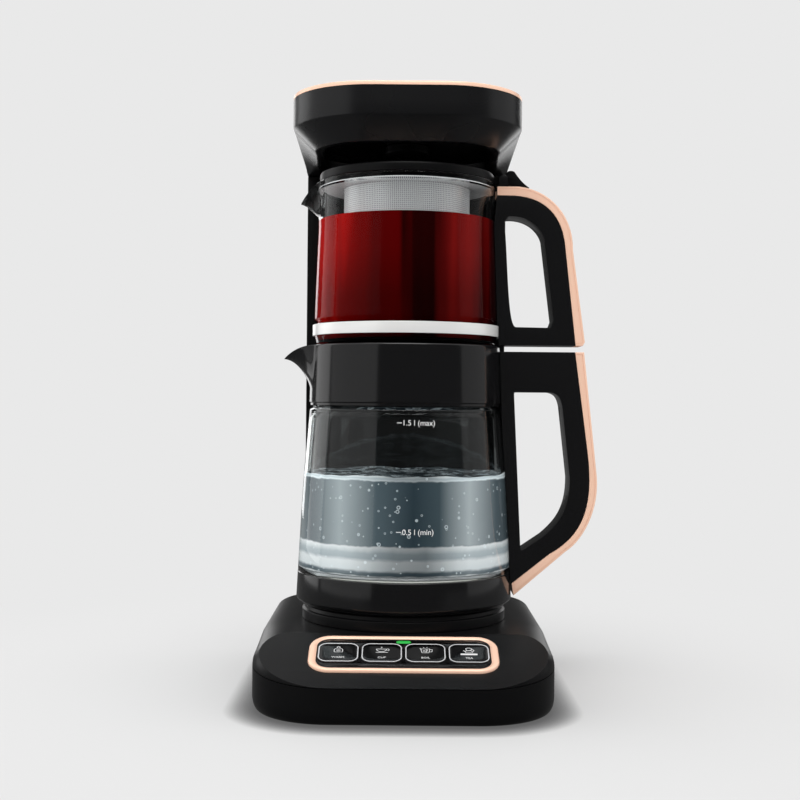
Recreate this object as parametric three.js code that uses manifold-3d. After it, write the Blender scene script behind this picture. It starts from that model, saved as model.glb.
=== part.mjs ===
import * as THREE from 'three';
import { mergeVertices } from 'three/addons/utils/BufferGeometryUtils.js';
import Module from 'manifold-3d';

const wasm = await Module();
wasm.setup();

// Automatic tea maker in millimetres, +Z up. Everything is laid out around the upright
// axis of the two jugs, with -Y towards the user and the ground at zero height.

// Shared sizes
const gap = 0.3;
const wall = 2.4;
const shellRadius = 74;
const jugClearance = 3;
const recessRadius = shellRadius + jugClearance;
const restInset = 4.3;
const restRadius = shellRadius - restInset;
const overrun = 6;
const roundSteps = 36;
const smallSteps = 10;
const cornerSteps = 4;
const outerCornerSteps = 6;
const leastSpreadShare = 0.5;

// Base
const baseSideReach = 18;
const baseHalfWidth = recessRadius + baseSideReach;
const rampTopReach = restRadius + gap;
const rampLength = 60;
const baseFront = rampTopReach + rampLength;
const towerDepth = 39;
const towerRear = recessRadius + towerDepth;
const baseTail = 2;
const baseRear = towerRear + baseTail;
const baseFrontCorner = 50;
const baseRearCorner = 28;
const seamFrontHeight = 23.3;
const seamLevelHeight = 36.5;
const seamLevelReach = 17;
const coverHeight = 46;
const coverCrown = 22;
const crownInsetShares = [0, 0.05, 0.24, 0.58, 1];
const crownRiseShares = [0, 0.3, 0.62, 0.89, 1];
const rampLip = 0.6;
const footLift = 1;
const trayTuck = 4.5;
const tuckHeight = 9;
const tuckInsetShares = [1, 0.42, 0.12, 0];
const tuckRiseShares = [0, 0.18, 0.52, 1];
const footRadius = 9;
const footPocket = 1.6;
const footInset = 36;
const bossRadius = 5;
const trayBossHeight = 6;
const bossInset = 21;
const bossFrontSetback = 96;
const bossFrontReach = baseFront - bossFrontSetback;
const bossRearSetback = 34;
const bossRearReach = baseRear - bossRearSetback;
const screwRadius = 1.6;
const screwHeadRadius = 3.4;
const screwHeadHeight = 2.2;
const screwLength = 20;
const glandRadius = 7;
const glandBore = 3.6;
const glandFlange = 9.5;
const glandFlangeDepth = 2.6;
const glandDepth = 9;
const glandInset = 37;
const glandSide = baseHalfWidth - glandInset;
const glandHeight = 21;

// Control panel, laid flat and then tilted onto the front slope
const panelWidth = 118;
const panelLength = 41;
const panelCorner = 13.5;
const panelBezel = 5.2;
const panelSetback = 24.5;
const panelReach = rampTopReach + panelSetback;
const panelPocket = 1.2;
const bezelHeight = 2.8;
const bezelInnerDrop = 1.2;
const plateThickness = 2;
const buttonCount = 4;
const buttonSpacing = 0.9;
const buttonPitch = (panelWidth - 2 * (panelBezel + gap) + buttonSpacing) / buttonCount;
const buttonWidth = buttonPitch - buttonSpacing;
const buttonMargin = 4.1;
const buttonLength = panelLength - 2 * (panelBezel + buttonMargin);
const buttonCorner = 6.2;
const buttonRise = 0.7;
const buttonSink = 3.4;
const buttonTravel = 0.8;
const windowMargin = 1;
const lampWidth = 9.2;
const lampLength = 3.2;
const lampCorner = 1.56;
const lampMargin = 5.3;
const lampShift = panelLength / 2 - lampMargin - lampLength / 2;
const lampRise = 0.2;
const boardMargin = 6;
const boardWidth = panelWidth - 2 * boardMargin;
const boardEndMargin = 5.5;
const boardLength = panelLength - 2 * boardEndMargin;
const boardThickness = 1.6;
const switchSide = 6.2;
const switchHeight = 3.4;
const plungerRadius = 1.7;
const plungerHeight = 1.2;
const boardBossRadius = 3;
const chipWidth = 12;
const chipHeight = 1.4;

// Parts inside the base
const powerBoardWidth = 64;
const powerBoardLength = 46;
const powerBoardInset = 63;
const powerBoardSide = powerBoardInset - baseHalfWidth;
const powerBoardReach = -22;
const powerBoardHeight = 11;
const powerPostRadius = 3;
const transformerSide = 22;
const transformerHeight = 14;
const capacitorRadius = 6;
const capacitorHeight = 15;
const pumpRadius = 14;
const pumpLength = 46;
const pumpSide = -14;
const pumpSetback = 7;
const pumpReach = recessRadius + pumpSetback;
const pumpSpigotRadius = 3.4;
const pumpSpigotLength = 12;

// Plinth and connector
const restHeight = 10.7;
const restTop = coverHeight + restHeight;
const restBevel = 2;
const connectorRadius = 14;
const connectorRise = 7.3;
const connectorTop = restTop + connectorRise;
const connectorGroove = 4;
const connectorPinRadius = 6;
const connectorRing = 3;

// Kettle
const shellStep = 1;
const kettleFootRadius = shellRadius - shellStep;
const middleTaper = 3.5;
const kettleMiddleRadius = kettleFootRadius - middleTaper;
const neckTaper = 7;
const kettleNeckRadius = kettleFootRadius - neckTaper;
const glassWall = 2.6;
const neckStep = 2.8;
const neckStepHeight = 2.4;
const shellBottom = restTop + gap;
const shellHeight = 21;
const shellTop = shellBottom + shellHeight;
const shellRimStep = 0.9;
const shellRimRadius = shellRadius - shellRimStep;
const shellBevel = 3;
const shellLedgeWidth = 12;
const shellLedgeInner = shellRadius - shellLedgeWidth;
const shellLedgeDrop = 2.6;
const sealThickness = 1.6;
const sealStep = 0.5;
const sealInner = shellLedgeInner + sealStep;
const plateEdgeGap = 0.8;
const heaterThickness = 1.6;
const elementRadius = 46;
const elementTube = 3.6;
const elementLeg = 9;
const elementDrop = 4.03;
const elementSweepShare = 0.86;
const elementSteps = 22;
const thermostatRadius = 12;
const socketRise = 12.5;
const socketTop = shellBottom + socketRise;
const socketWall = 3.6;
const channelClearance = 1;
const channelTopClearance = 2;
const socketSetback = 10;
const socketRear = shellRadius - socketSetback;
const kettleHeight = 175;
const collarTop = shellBottom + kettleHeight;
const collarHeight = 41;
const collarBottom = collarTop - collarHeight;
const neckEntry = 9;
const neckTop = collarBottom + neckEntry;
const neckDrop = 3;
const kettleNeckHeight = collarBottom - neckDrop;
const kettleMiddleRise = 64;
const kettleMiddleHeight = shellTop + kettleMiddleRise;
const collarLap = 0.2;
const collarBottomRadius = kettleNeckRadius + collarLap;
const collarTaper = 1.2;
const collarTopRadius = collarBottomRadius - collarTaper;
const collarStep = 0.8;
const collarStepHeight = 1.8;
const collarBevel = 1;
const collarWall = 3.4;
const collarLedge = 3.2;
const mouthStep = 17;
const collarMouth = collarTopRadius - mouthStep;
const spoutReach = 19.2;
const spoutTip = collarTopRadius + spoutReach;
const spoutDepth = 29.4;
const spoutLow = collarTop - spoutDepth;
const spoutWall = 1.7;
const spoutHalfWidth = 21;
const spoutSides = 8;
const spoutRootStep = 13;
const spoutRoot = collarTopRadius - spoutRootStep;
const spoutReachShares = [0, 0.44, 0.7, 1];
const spoutTopShares = [0.985, 0.985, 0.93, 0.69];
const spoutLowShares = [0, 0, 0.53, 0.64];
const spoutWidthShares = [1, 0.84, 0.56, 0.13];
const kettleHandleDrop = 3.4;
const kettleHandleTop = collarTop - kettleHandleDrop;
const kettleHandleLift = 5.2;
const kettleHandleBottom = shellBottom + kettleHandleLift;
const kettleHandleSpan = 58;
const kettleHandleReach = shellRadius + kettleHandleSpan;
const kettleHandleWidth = 25;

// Teapot
const teapotBottom = collarTop + gap;
const teapotHeight = 111.5;
const rimTop = teapotBottom + teapotHeight;
const teapotFootStep = 3.4;
const teapotFootRadius = collarTopRadius - teapotFootStep;
const bellySwell = 1.5;
const teapotBellyRadius = teapotFootRadius + bellySwell;
const shoulderStep = 0.9;
const teapotShoulderRadius = teapotFootRadius - shoulderStep;
const rimFlare = 0.5;
const teapotRimRadius = teapotShoulderRadius + rimFlare;
const bandLift = 6.1;
const bandBottom = teapotBottom + bandLift;
const bandWidth = 7.6;
const bandTop = bandBottom + bandWidth;
const bandThickness = 0.9;
const shoulderDrop = 30.8;
const teapotShoulderHeight = rimTop - shoulderDrop;
const beadHeight = 4.4;
const rimBead = rimTop - beadHeight;
const rimSeat = 1.7;
const rimInner = teapotRimRadius - rimSeat;
const teapotFloor = 4;
const lipReach = 12.4;
const lipTip = teapotRimRadius + lipReach;
const lipDepth = 22.8;
const lipLow = rimTop - lipDepth;
const lipWall = 1.5;
const lipHalfWidth = 19;
const lipRootStep = 10.2;
const lipRoot = teapotRimRadius - lipRootStep;
const lipReachShares = [0, 0.44, 0.73, 1];
const lipTopShares = [1, 1, 0.75, 0.47];
const lipLowShares = [0, 0.1, 0.24, 0.36];
const lipWidthShares = [1, 0.74, 0.42, 0.12];
const teapotHandleDrop = 2.4;
const teapotHandleTop = rimTop - teapotHandleDrop;
const teapotHandleLift = 0.7;
const teapotHandleBottom = teapotBottom + teapotHandleLift;
const teapotHandleSpan = 60.6;
const teapotHandleReach = teapotRimRadius + teapotHandleSpan;
const teapotHandleWidth = 25;
const handleGap = 0.45;
const basketInset = 16;
const basketRadius = rimInner - basketInset;
const basketLift = 29.7;
const basketBottom = teapotBottom + basketLift;
const basketWall = 0.8;
const basketCorner = 3;

// Lid
const lidInset = 1.2;
const lidRadius = teapotRimRadius - lidInset;
const lidHeight = 6.2;
const lidTop = rimTop + lidHeight;
const lidBevel = 1.2;
const lidSkirt = 2.6;
const plugClearance = 1.3;
const lidPlug = basketRadius - basketWall - plugClearance;
const lidPlugWall = 2.2;
const lidPlugDepth = 7;
const inletRadius = 7.6;
const inletBore = 5.6;
const inletFlange = 11;
const inletFlangeHeight = 1.4;
const inletDepth = 10;
const hingeSpan = 4.8;
const hingeReach = teapotRimRadius + hingeSpan;
const hingeDrop = 3.2;
const hingeHeight = lidTop - hingeDrop;
const hingePinRadius = 1.5;
const knuckleRadius = 3.3;
const leverWidth = 11;
const lugWidth = 3.6;
const leverPeakSpan = 5.1;
const leverPeakReach = hingeReach + leverPeakSpan;
const leverRise = 3.6;
const leverPeak = lidTop + leverRise;
const leverPeakWidth = 3;
const leverTailSpan = 16.6;
const leverTailReach = hingeReach + leverTailSpan;
const leverTailThickness = 1.6;
const leverHollowSpan = 12.3;
const leverHollowDrop = 3.7;

// Tower
const towerInset = 5.2;
const towerHalfWidth = recessRadius - towerInset;
const towerFront = 44;
const towerCorner = 24;

// Head
const lidClearance = 7;
const headRearBottom = lidTop + lidClearance;
const headRimRise = 5;
const headRimBottom = headRearBottom + headRimRise;
const headHeight = 36;
const headTop = headRimBottom + headHeight;
const headHalfWidth = recessRadius;
const headSetback = 2;
const headFront = recessRadius - headSetback;
const headFrontCorner = 54;
const headShoulder = 9;
const headBandHeight = 21.5;
const headBandBottom = headTop - headBandHeight;
const headChamfer = 15;
const headRimWidth = 5;
const headCeilingDrop = 28;
const headCeiling = headTop - headCeilingDrop;
const cheekShare = 0.62;
const trimRingWidth = 2.2;
const trimRingHeight = 2.6;
const headLidDepth = 5;
const headLidCrown = 0.7;
const headLidCrownInset = 16;
const nozzleRadius = 15;
const nozzleDrop = 7;
const nozzleBottom = headCeiling - nozzleDrop;
const nozzleNeckRadius = 5.4;
const nozzleSpigotRadius = 3;
const nozzleSpigotRise = 6;
const nozzleSpigotTop = headCeiling + nozzleSpigotRise;
const nozzleBore = 2;

// Water path
const pipeRadius = 5.2;
const pipeBore = 3.8;
const pipeSides = 12;
const hoseSides = 8;
const hoseSteps = 12;
const riserSide = 24;
const riserEntry = 4;
const riserBottom = coverHeight - riserEntry;
const riserRise = 2;
const riserTop = headCeiling + riserRise;
const hoseOverlap = 7;
const hoseCrestDrop = 7.3;

// Finishes
const finishes = {
  satinBlack: { color: 0x1d1d1e, roughness: 0.42, metalness: 0 },
  glossBlack: { color: 0x0b0b0c, roughness: 0.12, metalness: 0 },
  roseGold: { color: 0xe9a37c, roughness: 0.22, metalness: 1 },
  steel: { color: 0xc9cbcc, roughness: 0.28, metalness: 1 },
  glass: { color: 0xdfe9ea, roughness: 0.03, metalness: 0 },
  rubber: { color: 0x151515, roughness: 0.85, metalness: 0 },
  silicone: { color: 0xd9d9d4, roughness: 0.6, metalness: 0 },
  board: { color: 0x1d5a33, roughness: 0.6, metalness: 0 },
  lamp: { color: 0x2bb04a, roughness: 0.25, metalness: 0 },
  pump: { color: 0xe4e2da, roughness: 0.5, metalness: 0 },
};

const machine = new THREE.Group();
machine.position.set(
  (baseHalfWidth - kettleHandleReach) / 2,
  (baseFront - baseRear - glandFlangeDepth) / 2,
  0,
);

// Merges shared corners, drops empty triangles and turns the faces outwards
function welded(source) {
  const bare = source.clone();
  bare.deleteAttribute('normal');
  bare.deleteAttribute('uv');
  const merged = mergeVertices(bare);
  const places = merged.attributes.position;
  const corners = merged.index.array;
  const kept = [];
  const [p, q, r] = [new THREE.Vector3(), new THREE.Vector3(), new THREE.Vector3()];
  let volume = 0;
  for (let i = 0; i < corners.length; i += 3) {
    const [a, b, c] = corners.slice(i, i + 3);
    if (a === b || b === c || c === a) continue;
    kept.push([a, b, c]);
    p.fromBufferAttribute(places, a);
    q.fromBufferAttribute(places, b);
    r.fromBufferAttribute(places, c);
    volume += p.dot(q.cross(r));
  }
  merged.setIndex(kept.flatMap(([a, b, c]) => (volume < 0 ? [a, c, b] : [a, b, c])));
  return merged;
}

function toSolid(geometry) {
  const mesh = welded(geometry);
  return new wasm.Manifold(new wasm.Mesh({
    numProp: 3,
    vertProperties: mesh.attributes.position.array,
    triVerts: new Uint32Array(mesh.index.array),
  }));
}

function toGeometry(solid) {
  const mesh = solid.getMesh();
  const geometry = new THREE.BufferGeometry();
  geometry.setAttribute('position', new THREE.BufferAttribute(mesh.vertProperties, 3));
  geometry.setIndex(new THREE.BufferAttribute(mesh.triVerts, 1));
  return geometry;
}

function cut(geometry, ...tools) {
  return toGeometry(tools.reduce((left, tool) => left.subtract(toSolid(tool)), toSolid(geometry)));
}

function join(geometry, ...others) {
  return toGeometry(others.reduce((sum, other) => sum.add(toSolid(other)), toSolid(geometry)));
}

function common(geometry, other) {
  return toGeometry(toSolid(geometry).intersect(toSolid(other)));
}

function addPiece(name, geometry, finish, parent = machine) {
  const mesh = new THREE.Mesh(welded(geometry), new THREE.MeshStandardMaterial(finish));
  mesh.name = name;
  parent.add(mesh);
  return mesh;
}

// Outlines are lists of 2-D points
const point = (x, y) => new THREE.Vector2(x, y);

function arc(x, y, radius, from, to, steps = cornerSteps) {
  return Array.from({ length: steps + 1 }, (_, i) => {
    const angle = from + ((to - from) * i) / steps;
    return point(x + radius * Math.cos(angle), y + radius * Math.sin(angle));
  });
}

// Rounded rectangle from -front to rear, with optional extra stations along both sides
function roundedOutline(shape) {
  const { halfWidth, front, rear, frontCorner, rearCorner } = shape;
  const { stations = [], steps = cornerSteps } = shape;
  const quarter = Math.PI / 2;
  const side = stations.map((y) => point(halfWidth, y));
  const otherSide = stations.map((y) => point(-halfWidth, y)).reverse();
  const frontY = frontCorner - front;
  const rearY = rear - rearCorner;
  return [
    ...arc(frontCorner - halfWidth, frontY, frontCorner, 2 * quarter, 3 * quarter, steps),
    ...arc(halfWidth - frontCorner, frontY, frontCorner, 3 * quarter, 4 * quarter, steps),
    ...side,
    ...arc(halfWidth - rearCorner, rearY, rearCorner, 0, quarter),
    ...arc(rearCorner - halfWidth, rearY, rearCorner, quarter, 2 * quarter),
    ...otherSide,
  ];
}

function roundedPlate(width, length, corner) {
  const [halfWidth, half] = [width / 2, length / 2];
  return roundedOutline({ halfWidth, front: half, rear: half, frontCorner: corner, rearCorner: corner });
}

// Moves an outline outwards (or inwards with a negative distance) along its corners
function offsetOutline(points, distance) {
  const turning = THREE.ShapeUtils.isClockWise(points) ? -1 : 1;
  return points.map((here, i) => {
    const before = points[(i + points.length - 1) % points.length];
    const after = points[(i + 1) % points.length];
    const arrive = here.clone().sub(before).normalize();
    const leave = after.clone().sub(here).normalize();
    const normal = point(arrive.y + leave.y, -arrive.x - leave.x).multiplyScalar(turning).normalize();
    const across = (normal.x * arrive.y - normal.y * arrive.x) * turning;
    const spread = Math.max(across, leastSpreadShare);
    return here.clone().addScaledVector(normal, distance / spread);
  });
}

// Upright prism over an outline
function prism(points, bottom, top) {
  const geometry = new THREE.ExtrudeGeometry(new THREE.Shape(points), {
    depth: top - bottom,
    bevelEnabled: false,
  });
  return geometry.translate(0, 0, bottom);
}

// Outline drawn in X and Z, as thick as width and centred on Y
function slab(points, width, centre = 0) {
  return prism(points, -width / 2, width / 2).rotateX(Math.PI / 2).translate(0, centre, 0);
}

// Outline drawn in Y and Z, as thick as width and centred on X
function crossSlab(points, width) {
  const turn = new THREE.Matrix4().makeBasis(
    new THREE.Vector3(0, 1, 0),
    new THREE.Vector3(0, 0, 1),
    new THREE.Vector3(1, 0, 0),
  );
  return prism(points, -width / 2, width / 2).applyMatrix4(turn);
}

// Body turned about the upright axis from a profile of [radius, height] pairs
function turned(profile, steps = roundSteps) {
  const points = profile.map(([radius, height]) => point(radius, height));
  points.push(points[0].clone());
  return new THREE.LatheGeometry(points, steps).rotateX(Math.PI / 2);
}

function disc(radius, bottom, top, steps = roundSteps) {
  return turned([[0, bottom], [radius, bottom], [radius, top], [0, top]], steps);
}

function ring(inner, outer, bottom, top, steps = roundSteps) {
  return turned([[inner, bottom], [outer, bottom], [outer, top], [inner, top]], steps);
}

function box(width, depth, height, x, y, bottom) {
  return new THREE.BoxGeometry(width, depth, height).translate(x, y, bottom + height / 2);
}

// Skin through rings of equally many points, closed by a flat cap at each end
function lofted(rings) {
  const count = rings[0].length;
  const faces = [];
  rings.slice(1).forEach((_, r) => {
    for (let i = 0; i < count; i++) {
      const a = r * count + i;
      const b = r * count + ((i + 1) % count);
      faces.push(a, b, b + count, a, b + count, a + count);
    }
  });
  const capOf = (points) => THREE.ShapeUtils.triangulateShape(points.map((v) => point(v.x, v.y)), []);
  const last = (rings.length - 1) * count;
  capOf(rings[0]).forEach(([a, b, c]) => faces.push(c, b, a));
  capOf(rings[rings.length - 1]).forEach(([a, b, c]) => faces.push(a + last, b + last, c + last));
  const geometry = new THREE.BufferGeometry();
  const places = rings.flat().flatMap((v) => v.toArray());
  geometry.setAttribute('position', new THREE.Float32BufferAttribute(places, 3));
  geometry.setIndex(faces);
  return geometry;
}

function level(outline, heightAt) {
  return outline.map(({ x, y }) => new THREE.Vector3(x, y, heightAt(x, y)));
}

// Base: height of the parting seam, and the sloped front
function seamAt(y) {
  const share = (y + baseFront) / (baseFront - seamLevelReach);
  return THREE.MathUtils.lerp(seamFrontHeight, seamLevelHeight, Math.min(share, 1));
}

const rampFoot = seamFrontHeight + rampLip;
const rampTilt = Math.atan2(coverHeight - rampFoot, baseFront - rampTopReach);

function baseOutline(inset, rearInset, steps) {
  return roundedOutline({
    steps,
    halfWidth: baseHalfWidth - inset,
    front: baseFront - inset,
    rear: baseRear - rearInset,
    frontCorner: baseFrontCorner - inset,
    rearCorner: baseRearCorner - Math.min(inset, baseRearCorner / 2),
    stations: [inset - rampTopReach, -seamLevelReach],
  });
}

// Region under the seam, lowered or raised as asked
function belowSeam(shift) {
  const [front, rear] = [-baseFront - overrun, baseRear + overrun];
  return crossSlab([
    point(front, -overrun),
    point(rear, -overrun),
    point(rear, seamLevelHeight + shift),
    point(-seamLevelReach, seamLevelHeight + shift),
    point(-baseFront, seamFrontHeight + shift),
    point(front, seamFrontHeight + shift),
  ], 2 * (baseHalfWidth + overrun));
}

// Casing of the base as one block, its crown shrunk by the inset
function coverBlock(inset, steps) {
  const outline = baseOutline(inset, inset, steps);
  const crown = crownInsetShares.map((share, i) => {
    const shrunk = baseOutline(inset + share * coverCrown, inset, steps);
    const seams = outline.map(({ y }) => seamAt(y));
    return shrunk.map(({ x, y }, n) => {
      const rise = (coverHeight - seams[n]) * crownRiseShares[i];
      return new THREE.Vector3(x, y, seams[n] + rise - inset);
    });
  });
  return lofted([level(outline, () => footLift), ...crown]);
}

// Everything over the slope, which runs on level behind it
function aboveRamp(drop) {
  const [front, rear] = [-baseFront - overrun, baseRear + overrun];
  const sag = overrun * Math.tan(rampTilt);
  return crossSlab([
    point(front, rampFoot - sag - drop),
    point(-rampTopReach, coverHeight - drop),
    point(rear, coverHeight - drop),
    point(rear, coverHeight + baseFront),
    point(front, coverHeight + baseFront),
  ], 2 * (baseHalfWidth + overrun));
}

// Places of the four corners of a rectangle around the axis
function fourPlaces(side, front, rear) {
  return [[-side, -front], [side, -front], [-side, rear], [side, rear]];
}

const bossPlaces = fourPlaces(baseHalfWidth - bossInset, bossFrontReach, bossRearReach);
const footSide = baseHalfWidth - footInset;
const footPlaces = fourPlaces(footSide, baseFront - footInset, baseRear - footInset);
const trayFloor = footLift + wall;
const trayBossTop = trayFloor + trayBossHeight;

const panelPlace = new THREE.Matrix4().compose(
  new THREE.Vector3(0, -panelReach, rampFoot + (baseFront - panelReach) * Math.tan(rampTilt)),
  new THREE.Quaternion().setFromAxisAngle(new THREE.Vector3(1, 0, 0), rampTilt),
  new THREE.Vector3(1, 1, 1),
);
const plateBottom = gap - panelPocket;
const plateTop = plateBottom + plateThickness;
const buttonBlock = buttonPitch * (buttonCount - 1) + buttonWidth;
const switchTop = -buttonSink - buttonTravel - gap;
const boardTop = switchTop - plungerHeight - switchHeight;
const boardBossPlaces = fourPlaces(
  boardWidth / 2 - boardBossRadius,
  boardLength / 2 - boardBossRadius,
  boardLength / 2 - boardBossRadius,
);

function makeTray() {
  const rings = tuckInsetShares.map((share, i) => {
    const inset = share * trayTuck;
    const height = footLift + tuckRiseShares[i] * tuckHeight;
    return level(baseOutline(inset, inset, outerCornerSteps), () => height);
  });
  rings.push(level(baseOutline(0, 0, outerCornerSteps), () => coverHeight));
  const inside = tuckInsetShares.map((share, i) => {
    const inset = share * trayTuck + wall;
    const height = trayFloor + tuckRiseShares[i] * tuckHeight;
    return level(baseOutline(inset, inset, cornerSteps), () => height);
  });
  inside.push(level(baseOutline(wall, wall, cornerSteps), () => coverHeight + overrun));
  let tray = cut(common(lofted(rings), belowSeam(0)), lofted(inside));
  const posts = bossPlaces.map(([x, y]) =>
    disc(bossRadius, footLift + gap, trayBossTop, smallSteps).translate(x, y, 0));
  const boardPosts = powerPosts().map(([x, y]) =>
    disc(powerPostRadius, footLift + gap, powerBoardHeight - gap, smallSteps).translate(x, y, 0));
  tray = join(tray, ...posts, ...boardPosts);
  const bores = bossPlaces.flatMap(([x, y]) => [
    disc(screwRadius + gap, -overrun, trayBossTop + overrun, smallSteps).translate(x, y, 0),
    disc(screwHeadRadius + gap, -overrun, footLift + screwHeadHeight + gap, smallSteps).translate(x, y, 0),
  ]);
  const pockets = footPlaces.map(([x, y]) =>
    disc(footRadius + gap, -overrun, footLift + footPocket, smallSteps).translate(x, y, 0));
  const glandHole = disc(glandRadius + gap, -glandDepth - overrun, overrun, smallSteps)
    .rotateX(-Math.PI / 2).translate(glandSide, baseRear, glandHeight);
  return cut(tray, ...bores, ...pockets, glandHole);
}

function powerPosts() {
  return fourPlaces(
    powerBoardWidth / 2 - powerPostRadius,
    powerBoardLength / 2 - powerPostRadius,
    powerBoardLength / 2 - powerPostRadius,
  ).map(([x, y]) => [x + powerBoardSide, y + powerBoardReach]);
}

function makeCover() {
  const inner = cut(coverBlock(wall, cornerSteps), aboveRamp(wall / Math.cos(rampTilt)));
  const outer = cut(coverBlock(0, outerCornerSteps), aboveRamp(0));
  let cover = cut(outer, inner, belowSeam(gap));
  const bosses = bossPlaces.map(([x, y]) =>
    disc(bossRadius, trayBossTop + gap, coverHeight - wall / 2, smallSteps).translate(x, y, 0));
  const boardBosses = boardBossPlaces.map(([x, y]) =>
    disc(boardBossRadius, boardTop + gap, -panelPocket - gap, smallSteps).translate(x, y, 0)
      .applyMatrix4(panelPlace));
  cover = join(cover, ...bosses, ...boardBosses);
  const screwBores = bossPlaces.map(([x, y]) =>
    disc(screwRadius + gap, 0, footLift + screwLength + gap, smallSteps).translate(x, y, 0));
  const pocketOutline = roundedPlate(panelWidth + 2 * gap, panelLength + 2 * gap, panelCorner);
  const pocket = prism(pocketOutline, -panelPocket, overrun);
  const windowOutline = roundedPlate(
    buttonBlock + 2 * windowMargin,
    buttonLength + 2 * windowMargin,
    buttonCorner,
  );
  const window = prism(windowOutline, -buttonSink - overrun, overrun);
  const lampHole = prism(lampOutline(gap), -buttonSink - overrun, overrun);
  const place = (geometry) => geometry.applyMatrix4(panelPlace);
  const pipeHole = disc(pipeRadius + gap, 0, coverHeight + overrun, smallSteps);
  pipeHole.translate(riserSide, pumpReach, 0);
  const wireHole = disc(connectorRadius - connectorRing, 0, coverHeight + overrun, smallSteps);
  return cut(cover, ...screwBores, place(pocket), place(window), place(lampHole), pipeHole, wireHole);
}

function lampOutline(clearance) {
  const [width, length] = [lampWidth + 2 * clearance, lampLength + 2 * clearance];
  return roundedPlate(width, length, lampCorner + clearance)
    .map(({ x, y }) => point(x, y + lampShift));
}

function addBase() {
  addPiece('base_tray', makeTray(), finishes.satinBlack);
  addPiece('base_cover', makeCover(), finishes.satinBlack);
  const footNames = ['front_left', 'front_right', 'rear_left', 'rear_right'];
  footNames.forEach((name, i) => {
    const [x, y] = footPlaces[i];
    const foot = disc(footRadius, 0, footLift + footPocket - gap, smallSteps);
    addPiece(`foot_${name}`, foot, finishes.rubber).position.set(x, y, 0);
  });
  bossPlaces.forEach(([x, y], i) => {
    const screw = turned([
      [0, 0],
      [screwHeadRadius, 0],
      [screwHeadRadius, screwHeadHeight],
      [screwRadius, screwHeadHeight],
      [screwRadius, screwLength],
      [0, screwLength],
    ], smallSteps);
    addPiece(`base_screw_${i + 1}`, screw, finishes.steel).position.set(x, y, footLift);
  });
  const gland = turned([
    [glandBore, -glandDepth],
    [glandRadius, -glandDepth],
    [glandRadius, gap],
    [glandFlange, gap],
    [glandFlange, glandFlangeDepth - glandFlange / 8],
    [glandFlange - glandFlangeDepth / 2, glandFlangeDepth],
    [glandBore, glandFlangeDepth],
  ], smallSteps).rotateX(-Math.PI / 2);
  addPiece('cord_gland', gland, finishes.rubber).position.set(glandSide, baseRear, glandHeight);
}

function addPanel() {
  const panel = new THREE.Group();
  panelPlace.decompose(panel.position, panel.quaternion, panel.scale);
  machine.add(panel);
  const outline = roundedPlate(panelWidth, panelLength, panelCorner);
  const [width, length] = [panelWidth - 2 * panelBezel, panelLength - 2 * panelBezel];
  const corner = panelCorner - panelBezel;
  const inside = roundedPlate(width, length, corner);
  const frameTop = plateBottom + bezelHeight;
  const slope = lofted([
    level(inside, () => frameTop - bezelInnerDrop),
    level(offsetOutline(inside, panelBezel / 2), () => frameTop + gap),
  ]);
  const block = lofted([
    level(outline, () => plateBottom),
    level(outline, () => frameTop - bezelInnerDrop / 2),
    level(offsetOutline(outline, -bezelInnerDrop / 2), () => frameTop),
  ]);
  const frame = cut(block, prism(inside, -overrun, overrun), slope);
  addPiece('panel_frame', frame, finishes.roseGold, panel);

  const plate = prism(offsetOutline(inside, -gap), plateBottom, plateTop);
  const caps = Array.from({ length: buttonCount }, (_, i) => (i - (buttonCount - 1) / 2) * buttonPitch);
  const holes = caps.map((x) =>
    prism(roundedPlate(buttonWidth + 2 * gap, buttonLength + 2 * gap, buttonCorner + gap), -overrun, overrun)
      .translate(x, 0, 0));
  const lampHole = prism(lampOutline(gap), -overrun, overrun);
  addPiece('panel_plate', cut(plate, ...holes, lampHole), finishes.glossBlack, panel);
  addPiece('status_lamp', prism(lampOutline(0), -wall, plateTop + lampRise), finishes.lamp, panel);

  const board = box(boardWidth, boardLength, boardThickness, 0, 0, boardTop - boardThickness);
  const chip = box(chipWidth, chipWidth, chipHeight + gap, 0, 0, boardTop - boardThickness - chipHeight);
  addPiece('control_board', join(board, chip), finishes.board, panel);
  const names = ['bottle', 'cup', 'jug', 'teapot'];
  caps.forEach((x, i) => {
    const capOutline = roundedPlate(buttonWidth, buttonLength, buttonCorner);
    const cap = prism(capOutline, -buttonSink, plateTop + buttonRise);
    addPiece(`button_${names[i]}`, cap, finishes.glossBlack, panel).position.setX(x);
    const body = box(switchSide, switchSide, switchHeight - gap, 0, 0, boardTop + gap);
    const plunger = disc(plungerRadius, boardTop + switchHeight / 2, switchTop, smallSteps);
    addPiece(`tact_switch_${i + 1}`, join(body, plunger), finishes.satinBlack, panel).position.setX(x);
  });
}

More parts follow.
